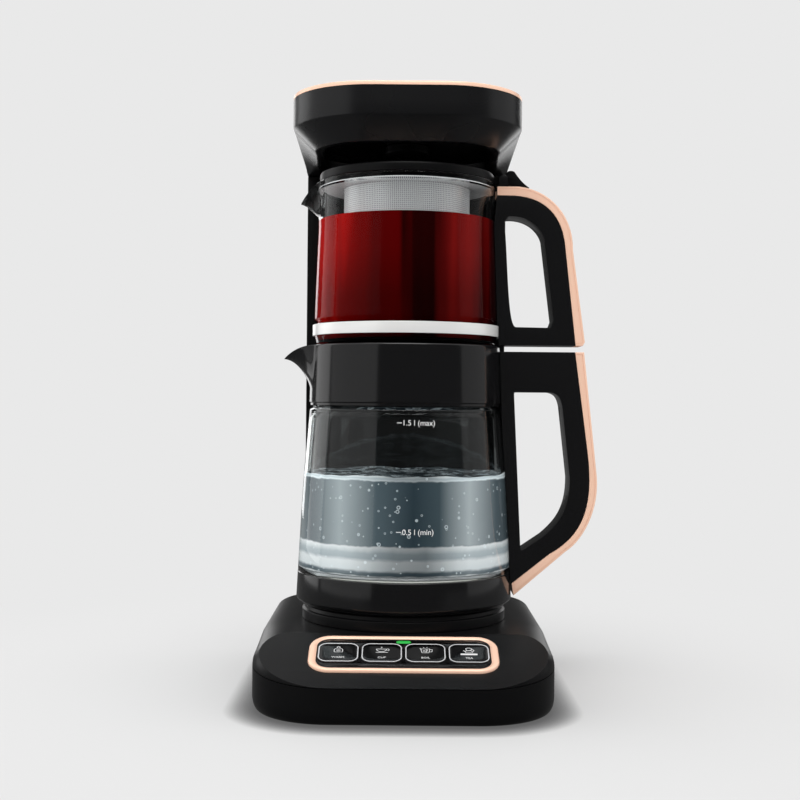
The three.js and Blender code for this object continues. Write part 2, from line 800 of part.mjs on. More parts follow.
function addBaseInsides() {
  const board = box(
    powerBoardWidth,
    powerBoardLength,
    boardThickness,
    powerBoardSide,
    powerBoardReach,
    powerBoardHeight,
  );
  const transformer = box(
    transformerSide,
    transformerSide,
    transformerHeight,
    powerBoardSide - powerBoardWidth / 4,
    powerBoardReach,
    powerBoardHeight + boardThickness / 2,
  );
  const capacitor = disc(
    capacitorRadius,
    powerBoardHeight + boardThickness / 2,
    powerBoardHeight + capacitorHeight,
    smallSteps,
  ).translate(powerBoardSide + powerBoardWidth / 4, powerBoardReach, 0);
  addPiece('power_board', join(board, transformer, capacitor), finishes.board);

  const pump = turned([
    [0, 0],
    [pumpRadius, 0],
    [pumpRadius, pumpLength],
    [pumpSpigotRadius, pumpLength],
    [pumpSpigotRadius, pumpLength + pumpSpigotLength],
    [0, pumpLength + pumpSpigotLength],
  ], smallSteps).rotateY(Math.PI / 2);
  const pumpHeight = trayFloor + gap + pumpRadius;
  addPiece('water_pump', pump, finishes.pump).position.set(pumpSide - pumpLength, pumpReach, pumpHeight);
  const spigotEnd = pumpSide + pumpSpigotLength;
  addHose('pump_hose', [
    [spigotEnd - hoseOverlap, pumpReach, pumpHeight],
    [spigotEnd, pumpReach, pumpHeight],
    [riserSide - pipeRadius, pumpReach, pumpHeight + pipeRadius / 4],
    [riserSide, pumpReach, pumpHeight + pipeRadius * 2],
    [riserSide, pumpReach, riserBottom - gap],
  ]);
}

// Hollow hose through the given places
function addHose(name, places) {
  const section = new THREE.Shape(arc(0, 0, pipeRadius, 0, 2 * Math.PI, hoseSides).slice(1));
  section.holes.push(new THREE.Path(arc(0, 0, pipeBore, 0, 2 * Math.PI, hoseSides).slice(1)));
  const route = new THREE.CatmullRomCurve3(places.map((place) => new THREE.Vector3(...place)));
  const hose = new THREE.ExtrudeGeometry(section, { steps: hoseSteps, extrudePath: route });
  addPiece(name, hose, finishes.silicone);
}

function addPlinth() {
  const rest = turned([
    [connectorRadius + gap, coverHeight + gap],
    [restRadius, coverHeight + gap],
    [restRadius, restTop - restBevel],
    [restRadius - restBevel, restTop],
    [connectorRadius + gap, restTop],
  ]);
  addPiece('kettle_rest', rest, finishes.glossBlack);
  const floor = connectorTop - connectorGroove;
  const connector = turned([
    [0, coverHeight + gap],
    [connectorRadius, coverHeight + gap],
    [connectorRadius, connectorTop],
    [connectorRadius - connectorRing, connectorTop],
    [connectorRadius - connectorRing, floor],
    [connectorPinRadius, floor],
    [connectorPinRadius, connectorTop],
    [0, connectorTop],
  ], smallSteps * 2);
  addPiece('power_connector', connector, finishes.satinBlack);
}

// Front arc of the tower wall at a radius, between its ends at the given reach
function recessArc(radius, reach) {
  const end = Math.asin(reach / radius);
  return arc(0, 0, radius, Math.PI - end, end, smallSteps);
}

function towerHollow() {
  const halfWidth = towerHalfWidth - wall;
  const rear = towerRear - wall;
  const corner = towerCorner - wall;
  return [
    ...recessArc(recessRadius + wall, towerFront + wall),
    point(halfWidth, towerFront + wall),
    ...arc(halfWidth - corner, rear - corner, corner, 0, Math.PI / 2),
    ...arc(corner - halfWidth, rear - corner, corner, Math.PI / 2, Math.PI),
    point(-halfWidth, towerFront + wall),
  ];
}

function addTower() {
  const [bottom, top] = [coverHeight + gap, headRearBottom - gap];
  const front = [
    point(-towerHalfWidth, towerFront),
    ...recessArc(recessRadius, towerFront),
    point(towerHalfWidth, towerFront),
    point(towerHalfWidth, towerFront + wall),
    ...recessArc(recessRadius + wall, towerFront + wall).reverse(),
    point(-towerHalfWidth, towerFront + wall),
  ];
  addPiece('tower_front_shell', prism(front, bottom, top), finishes.satinBlack);
  const skin = (inset) => {
    const halfWidth = towerHalfWidth - inset;
    const corner = towerCorner - inset;
    return [
      ...arc(halfWidth - corner, towerRear - towerCorner, corner, 0, Math.PI / 2),
      ...arc(corner - halfWidth, towerRear - towerCorner, corner, Math.PI / 2, Math.PI),
    ];
  };
  const start = towerFront + wall + gap;
  const cover = [
    point(towerHalfWidth, start),
    ...skin(0),
    point(-towerHalfWidth, start),
    point(wall - towerHalfWidth, start),
    ...skin(wall).reverse(),
    point(towerHalfWidth - wall, start),
  ];
  addPiece('tower_rear_cover', prism(cover, bottom, top), finishes.satinBlack);
  const riser = ring(pipeBore, pipeRadius, riserBottom, riserTop, pipeSides);
  addPiece('riser_tube', riser, finishes.steel).position.set(riserSide, pumpReach, 0);
}

// Head: plan outline, narrowing from the shoulders to the tower
function headOutline(inset) {
  const outline = roundedOutline({
    halfWidth: headHalfWidth - inset,
    front: headFront - inset,
    rear: towerRear - inset,
    frontCorner: headFrontCorner - inset,
    rearCorner: towerCorner - inset,
    stations: [-headShoulder, towerFront],
    steps: outerCornerSteps,
  });
  return outline.map(({ x, y }) => {
    const share = THREE.MathUtils.clamp((y + headShoulder) / (towerFront + headShoulder), 0, 1);
    return point(x * THREE.MathUtils.lerp(1, towerHalfWidth / headHalfWidth, share), y);
  });
}

// Share of the way from the shoulder back to the tower
function backShare(y) {
  return THREE.MathUtils.clamp((y + headShoulder) / (towerFront + headShoulder), 0, 1);
}

function makeHeadShell() {
  const band = headOutline(0);
  const drawn = headOutline(headChamfer);
  const rimHeight = (y) => THREE.MathUtils.lerp(headRimBottom, headRearBottom, backShare(y));
  const bandHeight = (y) => THREE.MathUtils.lerp(headBandBottom, headRearBottom + gap, backShare(y));
  const rim = band.map(({ x, y }, i) => {
    const share = y < towerFront ? 1 - backShare(y) * (1 - cheekShare) : 0;
    const place = point(x, y).lerp(drawn[i], share);
    return new THREE.Vector3(place.x, place.y, rimHeight(y));
  });
  const shellTop = headTop - trimRingHeight - gap;
  const block = lofted([
    rim,
    band.map(({ x, y }) => new THREE.Vector3(x, y, bandHeight(y))),
    level(band, () => shellTop),
  ]);
  const floor = headCeiling + wall;
  const inside = lofted([
    level(headOutline(2 * wall + headBandBottom - floor), () => floor),
    level(headOutline(wall), () => headBandBottom + wall),
    level(headOutline(wall), () => headTop + overrun),
  ]);
  const overTower = prism(towerHollow(), headRearBottom - overrun, headTop - headLidDepth);
  const recessInset = headChamfer + headRimWidth;
  const recess = roundedOutline({
    halfWidth: headHalfWidth - recessInset,
    front: headFront - recessInset,
    rear: recessRadius + overrun,
    frontCorner: headFrontCorner - recessInset,
    rearCorner: headRimWidth,
  });
  const underside = common(
    prism(recess, headRearBottom - overrun, headCeiling),
    disc(recessRadius - gap, headRearBottom - overrun, headCeiling),
  );
  const neckHole = disc(nozzleNeckRadius + gap, headRearBottom, headTop, smallSteps);
  return cut(block, inside, overTower, underside, neckHole);
}

function addHead() {
  addPiece('head_shell', makeHeadShell(), finishes.satinBlack);
  const trimBottom = headTop - trimRingHeight;
  const trim = cut(
    prism(headOutline(0), trimBottom, headTop),
    prism(headOutline(trimRingWidth), trimBottom - overrun, headTop + overrun),
  );
  addPiece('head_trim_ring', trim, finishes.roseGold);
  const edge = headOutline(wall + gap);
  const cover = lofted([
    level(edge, () => headTop - headLidDepth),
    level(edge, () => headTop - headLidCrown),
    level(headOutline(wall + headLidCrownInset), () => headTop),
  ]);
  addPiece('head_cover', cover, finishes.satinBlack);
  const nozzle = turned([
    [nozzleBore, nozzleBottom],
    [nozzleRadius - restBevel, nozzleBottom],
    [nozzleRadius, nozzleBottom + restBevel],
    [nozzleRadius, headCeiling - gap],
    [nozzleNeckRadius, headCeiling - gap],
    [nozzleNeckRadius, headCeiling + wall + gap],
    [nozzleSpigotRadius, headCeiling + wall + gap],
    [nozzleSpigotRadius, nozzleSpigotTop],
    [nozzleBore, nozzleSpigotTop],
  ], smallSteps);
  addPiece('shower_nozzle', nozzle, finishes.satinBlack);
  const crest = headTop - headLidDepth - hoseCrestDrop;
  const nozzleStart = headCeiling + wall + 2 * gap;
  addHose('head_hose', [
    [riserSide, pumpReach, riserTop + gap],
    [riserSide, pumpReach, riserTop + pipeRadius],
    [riserSide, pumpReach - pipeRadius * 2, crest],
    [riserSide / 2, pumpReach / 2, crest],
    [0, pipeRadius * 2, crest],
    [0, 0, crest - pipeRadius],
    [0, 0, nozzleStart],
  ]);
}

// Kettle: outer radius of the glass at a height
const kettleGlassBottom = shellTop + gap;

function kettleRadius(height) {
  const [low, high, from, to] = height < kettleMiddleHeight
    ? [kettleGlassBottom, kettleMiddleHeight, kettleFootRadius, kettleMiddleRadius]
    : [kettleMiddleHeight, kettleNeckHeight, kettleMiddleRadius, kettleNeckRadius];
  return THREE.MathUtils.mapLinear(height, low, high, from, to);
}

const neckRadius = kettleNeckRadius - neckStep;
const neckStart = kettleNeckHeight + neckStepHeight;

function addKettleGlass() {
  const glass = turned([
    [kettleFootRadius - glassWall, kettleGlassBottom],
    [kettleFootRadius, kettleGlassBottom],
    [kettleMiddleRadius, kettleMiddleHeight],
    [kettleNeckRadius, kettleNeckHeight],
    [neckRadius, neckStart],
    [neckRadius, neckTop],
    [neckRadius - glassWall, neckTop],
    [neckRadius - glassWall, neckStart],
    [kettleNeckRadius - glassWall, kettleNeckHeight - neckStepHeight / 2],
    [kettleMiddleRadius - glassWall, kettleMiddleHeight],
  ]);
  addPiece('kettle_glass', glass, finishes.glass);
}

// Beak pointing to -X: each station is a round-bottomed trough section
function beak(shape, inset, lift) {
  const { root, tip, low, top, halfWidth } = shape;
  const { reachShares, topShares, lowShares, widthShares } = shape;
  const along = reachShares.map((share) => root + share * (tip - root));
  const rings = along.map((reach, i) => {
    const width = Math.max(halfWidth * widthShares[i] - inset, inset / 2);
    const bottom = low + lowShares[i] * (top - low) + inset;
    const upper = low + topShares[i] * (top - low) + lift;
    return Array.from({ length: spoutSides + 1 }, (_, n) => {
      const across = (2 * n) / spoutSides - 1;
      return new THREE.Vector3(across * width, bottom + (upper - bottom) * across * across, reach);
    });
  });
  const turn = new THREE.Matrix4().makeBasis(
    new THREE.Vector3(0, -1, 0),
    new THREE.Vector3(0, 0, 1),
    new THREE.Vector3(-1, 0, 0),
  );
  return lofted(rings).applyMatrix4(turn);
}

function addCollar() {
  const outside = turned([
    [0, collarBottom],
    [collarBottomRadius - collarStep, collarBottom],
    [collarBottomRadius - collarStep, collarBottom + collarStepHeight],
    [collarBottomRadius, collarBottom + collarStepHeight + collarStep],
    [collarTopRadius, collarTop - collarBevel],
    [collarTopRadius - collarBevel, collarTop],
    [0, collarTop],
  ]);
  const pocket = neckRadius + gap;
  const inner = collarTopRadius - collarWall;
  const inside = turned([
    [0, collarBottom - overrun],
    [pocket, collarBottom - overrun],
    [pocket, neckTop + gap],
    [inner, neckTop + gap],
    [inner, collarTop - collarLedge],
    [collarMouth, collarTop - collarLedge],
    [collarMouth, collarTop + overrun],
    [0, collarTop + overrun],
  ]);
  const spout = {
    root: spoutRoot,
    tip: spoutTip,
    low: spoutLow,
    top: collarTop,
    halfWidth: spoutHalfWidth,
    reachShares: spoutReachShares,
    topShares: spoutTopShares,
    lowShares: spoutLowShares,
    widthShares: spoutWidthShares,
  };
  const trough = beak(spout, spoutWall, overrun);
  const ledge = ring(collarMouth, collarTopRadius - collarBevel, collarTop - collarLedge, collarTop);
  const shell = cut(join(outside, beak(spout, 0, 0)), inside, cut(trough, ledge));
  addPiece('kettle_collar', shell, finishes.satinBlack);
}

function addKettleBase() {
  const floorTop = shellBottom + wall;
  const ledgeTop = shellTop - gap;
  const shell = turned([
    [0, shellBottom],
    [shellRadius - shellBevel, shellBottom],
    [shellRadius, shellBottom + shellBevel],
    [shellRimRadius, shellTop],
    [kettleFootRadius - glassWall, shellTop],
    [kettleFootRadius - glassWall, ledgeTop],
    [shellLedgeInner, ledgeTop],
    [shellLedgeInner, ledgeTop - shellLedgeDrop],
    [shellRimRadius - wall, ledgeTop - 2 * shellLedgeDrop],
    [shellRadius - wall, shellBottom + shellBevel],
    [shellRadius - shellBevel - wall, floorTop],
    [0, floorTop],
  ]);
  const channelHalf = connectorRadius + channelClearance;
  const channelTop = connectorTop + channelTopClearance;
  const channel = box(
    2 * channelHalf,
    channelHalf + shellRadius + overrun,
    channelTop - shellBottom + overrun,
    0,
    (shellRadius + overrun - channelHalf) / 2,
    shellBottom - overrun,
  );
  addPiece('kettle_shell', cut(shell, channel), finishes.satinBlack);
  const socketFront = channelHalf + socketWall;
  const socket = box(
    2 * socketFront,
    socketFront + socketRear,
    socketTop - floorTop - gap,
    0,
    (socketRear - socketFront) / 2,
    floorTop + gap,
  );
  addPiece('kettle_socket', cut(socket, channel), finishes.satinBlack);

  const sealTop = shellTop + sealThickness;
  const plateRadius = kettleFootRadius - glassWall - plateEdgeGap;
  addPiece('kettle_seal', ring(sealInner, plateRadius, shellTop, sealTop), finishes.silicone);
  const plateBottom = sealTop + gap;
  const plate = disc(plateRadius, plateBottom, plateBottom + heaterThickness);
  addPiece('heater_plate', plate, finishes.steel);
  const thermostat = disc(thermostatRadius, socketTop + gap, plateBottom - gap, smallSteps);
  addPiece('kettle_thermostat', thermostat, finishes.satinBlack);
  addElement(plateBottom - gap - elementDrop);
}

// Open heating ring with both ends turned down
function addElement(height) {
  const sweep = 2 * Math.PI * elementSweepShare;
  const start = (2 * Math.PI - sweep) / 2 - Math.PI / 2;
  const around = Array.from({ length: smallSteps * 2 + 1 }, (_, i) => {
    const angle = start + (sweep * i) / (smallSteps * 2);
    return new THREE.Vector3(elementRadius * Math.cos(angle), elementRadius * Math.sin(angle), height);
  });
  const leg = (place) => place.clone().setZ(height - elementLeg);
  const route = new THREE.CatmullRomCurve3([leg(around[0]), ...around, leg(around[around.length - 1])]);
  const section = new THREE.Shape(arc(0, 0, elementTube, 0, 2 * Math.PI, hoseSides).slice(1));
  const element = new THREE.ExtrudeGeometry(section, { steps: elementSteps, extrudePath: route });
  addPiece('heating_element', element, finishes.steel);
}

// Point of a handle outline from shares of its reach and height
function handlePoints({ inner, reach, bottom, top }, shares) {
  return shares.map(([x, z]) => point(inner + x * (reach - inner), bottom + z * (top - bottom)));
}

// Outline made of corners and of smooth bends, each bend a list of four share points
function bent(frame, parts) {
  return parts.flatMap((part) => {
    const points = handlePoints(frame, part);
    if (points.length < 4) return points;
    return new THREE.CubicBezierCurve(...points).getPoints(smallSteps / 2);
  });
}

const kettleFrame = {
  inner: collarBottomRadius + gap,
  reach: kettleHandleReach,
  bottom: kettleHandleBottom,
  top: kettleHandleTop,
};
const kettleGripShares = [
  [[0.751, 1]],
  [[0.889, 0.594], [0.959, 0.385], [0.88, 0.255], [0.5, 0.172]],
  [[0.108, 0.05]],
];
const kettleRimShares = [
  [[0.4, 1], [0.849, 1]],
  [[0.993, 0.491], [1.025, 0.344], [0.838, 0.223], [0.675, 0.183]],
  [[0.13, 0], [0.108, 0.05], [0.16, 0.2]],
];
const kettleHoleShares = [
  [[0.2, 0.18], [0.118, 0.834]],
  [[0.502, 0.834], [0.58, 0.827], [0.604, 0.816], [0.625, 0.776]],
  [[0.709, 0.484], [0.714, 0.351], [0.601, 0.298], [0.434, 0.242]],
];

function addKettleHandle() {
  const beside = (height, radius) => point(radius + handleGap, height);
  const grip = [
    beside(kettleHandleTop, collarBottomRadius),
    ...bent(kettleFrame, kettleGripShares),
    beside(kettleGlassBottom, shellRimRadius),
    beside(kettleMiddleHeight, kettleRadius(kettleMiddleHeight)),
    beside(collarBottom, collarBottomRadius),
  ];
  const hole = bent(kettleFrame, kettleHoleShares);
  const body = cut(
    slab(grip, kettleHandleWidth),
    slab(hole, kettleHandleWidth + overrun),
    disc(shellRadius + handleGap, shellBottom, kettleGlassBottom),
  );
  addPiece('kettle_handle', body, finishes.satinBlack);
  const strip = cut(
    slab(bent(kettleFrame, kettleRimShares), kettleHandleWidth),
    slab(offsetOutline(grip, gap), kettleHandleWidth + overrun),
    disc(shellRadius + handleGap, shellBottom, kettleGlassBottom),
  );
  addPiece('kettle_handle_trim', strip, finishes.roseGold);
}

function addTeapotGlass() {
  const floor = teapotBottom + teapotFloor;
  const outside = turned([
    [0, teapotBottom],
    [teapotFootRadius - restBevel, teapotBottom],
    [teapotFootRadius, teapotBottom + restBevel / 2],
    [teapotBellyRadius, bandBottom - gap],
    [teapotBellyRadius, bandTop],
    [teapotShoulderRadius, teapotShoulderHeight],
    [teapotRimRadius, rimBead],
    [teapotRimRadius, rimTop],
    [0, rimTop],
  ]);
  const inside = turned([
    [0, floor],
    [teapotFootRadius - glassWall - restBevel, floor],
    [teapotBellyRadius - glassWall, bandBottom + teapotFloor],
    [teapotBellyRadius - glassWall, bandTop],
    [teapotShoulderRadius - glassWall, teapotShoulderHeight],
    [teapotShoulderRadius - glassWall, rimBead],
    [rimInner, rimBead],
    [rimInner, rimTop + overrun],
    [0, rimTop + overrun],
  ]);
  const lip = {
    root: lipRoot,
    tip: lipTip,
    low: lipLow,
    top: rimTop,
    halfWidth: lipHalfWidth,
    reachShares: lipReachShares,
    topShares: lipTopShares,
    lowShares: lipLowShares,
    widthShares: lipWidthShares,
  };
  const glass = cut(join(outside, beak(lip, 0, 0)), inside, beak(lip, lipWall, overrun));
  addPiece('teapot_glass', glass, finishes.glass);
  const bandInner = teapotBellyRadius + gap;
  addPiece('teapot_band', ring(bandInner, bandInner + bandThickness, bandBottom, bandTop), finishes.steel);
}

const teapotFrame = {
  inner: teapotRimRadius + handleGap,
  reach: teapotHandleReach,
  bottom: teapotHandleBottom,
  top: teapotHandleTop,
};
const gripFootShare = 0.942;
const teapotGripShares = [
  [[0, gripFootShare]],
  [[0.194, 0.941], [0.536, 0.931], [0.731, 0.824], [0.771, 0.633]],
  [[0.899, 0]],
];
const teapotRimShares = [
  [[0, 0.8], [0, 1]],
  [[0.246, 1], [0.612, 0.98], [0.871, 0.811], [0.864, 0.602]],
  [[1.008, 0.023], [0.985, 0]],
  [[0.5, 0], [0.6, 0.6]],
];
const teapotHoleShares = [
  [[0.222, 0.115], [0.12, 0.11], [0.125, 0.62], [0.08, 0.775]],
  [[0.13, 0.812], [0.361, 0.821], [0.505, 0.743], [0.536, 0.672]],
  [[0.65, 0.158], [0.617, 0.112]],
];

function addTeapotHandle() {
  const bandOuter = teapotBellyRadius + gap + bandThickness;
  const beside = (height, radius) => point(radius + handleGap, height);
  const grip = [
    ...bent(teapotFrame, teapotGripShares),
    beside(teapotHandleBottom, bandOuter),
    beside(bandTop + gap, bandOuter),
    beside(bandTop + gap, teapotBellyRadius),
    beside(teapotShoulderHeight, teapotShoulderRadius),
  ];
  const lugOffset = leverWidth / 2 + gap + lugWidth / 2;
  const foot = THREE.MathUtils.lerp(teapotHandleBottom, teapotHandleTop, gripFootShare);
  const lugs = [-1, 1].map((side) => slab([
    point(hingeReach + knuckleRadius, foot - knuckleRadius),
    ...arc(hingeReach, hingeHeight, knuckleRadius, 0, Math.PI, smallSteps / 2),
    point(hingeReach - knuckleRadius, foot - knuckleRadius),
  ], lugWidth, side * lugOffset));
  const pinBore = disc(hingePinRadius + gap, -teapotHandleWidth, teapotHandleWidth, smallSteps)
    .rotateX(Math.PI / 2).translate(hingeReach, 0, hingeHeight);
  const body = cut(
    join(slab(grip, teapotHandleWidth), ...lugs),
    slab(bent(teapotFrame, teapotHoleShares), teapotHandleWidth + overrun),
    pinBore,
  );
  addPiece('teapot_handle', body, finishes.satinBlack);
  const pocketHalf = lugOffset + lugWidth / 2 + gap;
  const pocket = box(
    leverTailReach + leverPeakWidth,
    2 * pocketHalf,
    leverPeak - teapotShoulderHeight,
    (leverTailReach + leverPeakWidth) / 2,
    0,
    teapotShoulderHeight,
  );
  const strip = cut(
    slab(bent(teapotFrame, teapotRimShares), teapotHandleWidth),
    slab(offsetOutline(grip, gap), teapotHandleWidth + overrun),
    pocket,
  );
  addPiece('teapot_handle_trim', strip, finishes.roseGold);
  const pin = disc(hingePinRadius, -pocketHalf + gap, pocketHalf - gap, smallSteps).rotateX(Math.PI / 2);
  addPiece('hinge_pin', pin, finishes.steel).position.set(hingeReach, 0, hingeHeight);
}

function addBasket() {
  const flangeBottom = rimBead + gap;
  const flangeTop = flangeBottom + basketWall;
  const basket = turned([
    [0, basketBottom],
    [basketRadius - basketCorner, basketBottom],
    [basketRadius, basketBottom + basketCorner],
    [basketRadius, flangeBottom],
    [rimInner - gap, flangeBottom],
    [rimInner - gap, flangeTop],
    [basketRadius - basketWall, flangeTop],
    [basketRadius - basketWall, basketBottom + basketCorner],
    [basketRadius - basketCorner, basketBottom + basketWall],
    [0, basketBottom + basketWall],
  ]);
  addPiece('infuser_basket', basket, finishes.steel);
}

function addLid() {
  const lidBottom = rimTop + gap;
  const lidWall = lidTop - lidBottom;
  const roof = lidTop - lidWall / 2;
  const hole = inletRadius + gap;
  const lid = turned([
    [hole, roof],
    [lidPlug - lidPlugWall, roof],
    [lidPlug - lidPlugWall, lidBottom - lidPlugDepth],
    [lidPlug, lidBottom - lidPlugDepth],
    [lidPlug, roof],
    [lidRadius - lidSkirt, roof],
    [lidRadius - lidSkirt, lidBottom],
    [lidRadius, lidBottom],
    [lidRadius, lidTop - lidBevel],
    [lidRadius - lidBevel, lidTop],
    [inletFlange + gap, lidTop],
    [inletFlange + gap, lidTop - inletFlangeHeight - gap],
    [hole, lidTop - inletFlangeHeight - gap],
  ]);
  const lever = slab([
    point(lidRadius - lidSkirt / 2, lidBottom),
    point(hingeReach, hingeHeight - knuckleRadius),
    point(hingeReach + knuckleRadius, hingeHeight - knuckleRadius),
    point(leverTailReach, teapotHandleTop + gap),
    point(leverTailReach + leverTailThickness, teapotHandleTop + gap),
    point(hingeReach + leverHollowSpan, lidTop - leverHollowDrop),
    point(leverPeakReach + leverPeakWidth, leverPeak - leverTailThickness / 2),
    point(leverPeakReach + leverPeakWidth / 2, leverPeak),
    point(leverPeakReach - leverPeakWidth / 2, leverPeak),
    point(hingeReach, hingeHeight + knuckleRadius),
    point(lidRadius - lidSkirt / 2, lidTop - lidBevel),
  ], leverWidth);
  const knuckle = disc(knuckleRadius, -leverWidth / 2, leverWidth / 2, smallSteps)
    .rotateX(Math.PI / 2).translate(hingeReach, 0, hingeHeight);
  const bore = disc(hingePinRadius + gap, -leverWidth, leverWidth, smallSteps)
    .rotateX(Math.PI / 2).translate(hingeReach, 0, hingeHeight);
  addPiece('teapot_lid', cut(join(lid, lever, knuckle), bore), finishes.satinBlack);
  const inlet = turned([
    [inletBore, lidTop - inletDepth],
    [inletRadius, lidTop - inletDepth],
    [inletRadius, lidTop - inletFlangeHeight],
    [inletFlange, lidTop - inletFlangeHeight],
    [inletFlange, lidTop - gap],
    [inletBore, lidTop - gap],
  ], smallSteps * 2);
  addPiece('lid_inlet', inlet, finishes.steel);
}

addBase();
addPanel();
addBaseInsides();
addPlinth();
addTower();
addHead();
addKettleGlass();
addCollar();
addKettleBase();
addKettleHandle();
addTeapotGlass();
addTeapotHandle();
addBasket();
addLid();

export default machine;
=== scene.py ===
import math
import bmesh
import bpy
from mathutils import Matrix, Vector
from mathutils.kdtree import KDTree


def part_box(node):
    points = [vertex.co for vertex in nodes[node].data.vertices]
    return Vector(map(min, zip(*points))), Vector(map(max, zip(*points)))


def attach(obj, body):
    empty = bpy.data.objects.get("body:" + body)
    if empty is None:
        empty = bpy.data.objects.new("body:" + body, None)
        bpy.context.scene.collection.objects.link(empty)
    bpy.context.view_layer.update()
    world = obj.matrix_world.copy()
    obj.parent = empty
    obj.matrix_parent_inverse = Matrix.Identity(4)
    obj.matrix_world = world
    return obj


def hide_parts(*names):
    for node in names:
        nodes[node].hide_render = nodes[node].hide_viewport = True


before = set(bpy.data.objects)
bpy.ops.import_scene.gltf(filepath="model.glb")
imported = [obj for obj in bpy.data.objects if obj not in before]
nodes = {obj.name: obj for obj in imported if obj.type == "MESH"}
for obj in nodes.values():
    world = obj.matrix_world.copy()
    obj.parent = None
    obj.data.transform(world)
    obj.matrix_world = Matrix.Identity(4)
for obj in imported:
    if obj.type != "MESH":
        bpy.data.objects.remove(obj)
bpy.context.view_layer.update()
scene = bpy.context.scene
print("frame loaded:", len(nodes), "nodes")

# Sizes are in millimetres around the upright axis of the two jugs
restLow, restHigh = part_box("kettle_rest")
axisPlace = Vector(((restLow.x + restHigh.x) / 2, (restLow.y + restHigh.y) / 2, 0))
jugFrame = Matrix.Translation(axisPlace) @ Matrix.Scale(0.001, 4)
jugSpace = jugFrame.inverted()

# in metres: what lies nearer than this is one vertex, on the turning axis, or on the slope
nearness = {"weld": 0.000004, "axis": 0.00001, "slope": 0.00002}


# Edit-mode tools

def focus(obj):
    bpy.ops.object.select_all(action="DESELECT")
    obj.select_set(True)
    bpy.context.view_layer.objects.active = obj


def startEdit(obj, kind="VERT", action="DESELECT"):
    focus(obj)
    bpy.ops.object.mode_set(mode="EDIT")
    bpy.ops.mesh.select_mode(type=kind)
    bpy.ops.mesh.select_all(action=action)


def endEdit():
    bpy.ops.object.mode_set(mode="OBJECT")


def endAndTidy(obj):
    endEdit()
    startEdit(obj, action="SELECT")
    bpy.ops.mesh.remove_doubles(threshold=nearness["weld"])
    bpy.ops.mesh.normals_make_consistent(inside=False)
    endEdit()


def pick(obj, kind, test):
    mesh = bmesh.from_edit_mesh(obj.data)
    mesh.normal_update()
    parts = {"VERT": mesh.verts, "EDGE": mesh.edges, "FACE": mesh.faces}[kind]
    for part in parts:
        if test(part):
            part.select_set(True)
    bmesh.update_edit_mesh(obj.data)


def newRing(name, points, place=jugFrame, filled=True):
    fill = "NGON" if filled else "NOTHING"
    bpy.ops.mesh.primitive_circle_add(vertices=len(points), radius=0.01, fill_type=fill)
    obj = bpy.context.object
    obj.name = obj.data.name = name
    for vertex, point in zip(obj.data.vertices, points):
        vertex.co = place @ Vector(point)
    return obj


def moveRing(obj, before, after, place):
    tree = KDTree(len(before))
    for i, point in enumerate(before):
        tree.insert(place @ Vector(point), i)
    tree.balance()
    mesh = bmesh.from_edit_mesh(obj.data)
    for vertex in mesh.verts:
        if vertex.select:
            vertex.co = place @ Vector(after[tree.find(vertex.co)[1]])
    bmesh.update_edit_mesh(obj.data)


def stacked(name, rings, place=jugFrame):
    # a face extruded from ring to ring, all with equally many points
    obj = newRing(name, rings[0], place)
    startEdit(obj, action="SELECT")
    for before, after in zip(rings, rings[1:]):
        bpy.ops.mesh.extrude_region_move()
        moveRing(obj, before, after, place)
    endAndTidy(obj)
    return obj


def hollowRing(obj):
    # the two end faces give way to a band that joins the first ring to the last
    startEdit(obj, "FACE")
    pick(obj, "FACE", lambda f: len(f.verts) > 8)
    bpy.ops.mesh.delete(type="FACE")
    bpy.ops.mesh.select_mode(type="EDGE")
    bpy.ops.mesh.select_non_manifold()
    bpy.ops.mesh.bridge_edge_loops()
    endAndTidy(obj)
    return obj


def turnedPiece(name, profile, steps=96, place=jugFrame):
    # a closed profile of (radius, height) spun round the upright axis
    obj = newRing(name, [(r, 0, z) for r, z in profile], place, filled=False)
    centre = place @ Vector((0, 0, 0))
    axis = (place.to_3x3() @ Vector((0, 0, 1))).normalized()

    def onAxis(edge):
        return all(((v.co - centre).cross(axis)).length < nearness["axis"] for v in edge.verts)

    startEdit(obj, "EDGE")
    pick(obj, "EDGE", onAxis)
    bpy.ops.mesh.delete(type="EDGE")
    bpy.ops.mesh.select_all(action="SELECT")
    bpy.ops.mesh.spin(steps=steps, angle=2 * math.pi, center=centre, axis=axis)
    endAndTidy(obj)
    return obj


def useModifier(obj, kind, **settings):
    focus(obj)
    modifier = obj.modifiers.new(kind.lower(), kind)
    for key, value in settings.items():
        setattr(modifier, key, value)
    bpy.ops.object.modifier_apply(modifier=modifier.name)


def softenEdges(obj, width, segments=3, angle=40):
    useModifier(obj, "BEVEL", width=width / 1000, segments=segments, limit_method="ANGLE",
                angle_limit=math.radians(angle), use_clamp_overlap=True, miter_outer="MITER_ARC")


def carve(obj, *tools, operation="DIFFERENCE"):
    for tool in tools:
        useModifier(obj, "BOOLEAN", object=tool, operation=operation, solver="EXACT")
        bpy.data.objects.remove(tool, do_unlink=True)


def merge(name, *parts):
    focus(parts[0])
    for part in parts[1:]:
        part.select_set(True)
    bpy.ops.object.join()
    parts[0].name = parts[0].data.name = name
    return parts[0]


def copied(obj, name, x=0, y=0, z=0):
    # a copy with a mesh of its own, moved by millimetres
    focus(obj)
    bpy.ops.object.duplicate(linked=False)
    new = bpy.context.object
    new.name = new.data.name = name
    new.data.transform(Matrix.Translation((x / 1000, y / 1000, z / 1000)))
    return new


def finishPiece(obj, body, finish, slot, *standsFor, angle=35):
    focus(obj)
    if angle:
        bpy.ops.object.shade_smooth_by_angle(angle=math.radians(angle))
    obj.data.materials.clear()
    obj.data.materials.append(finish)
    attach(obj, body)
    if standsFor:
        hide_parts(*standsFor)
    return obj


# Outlines

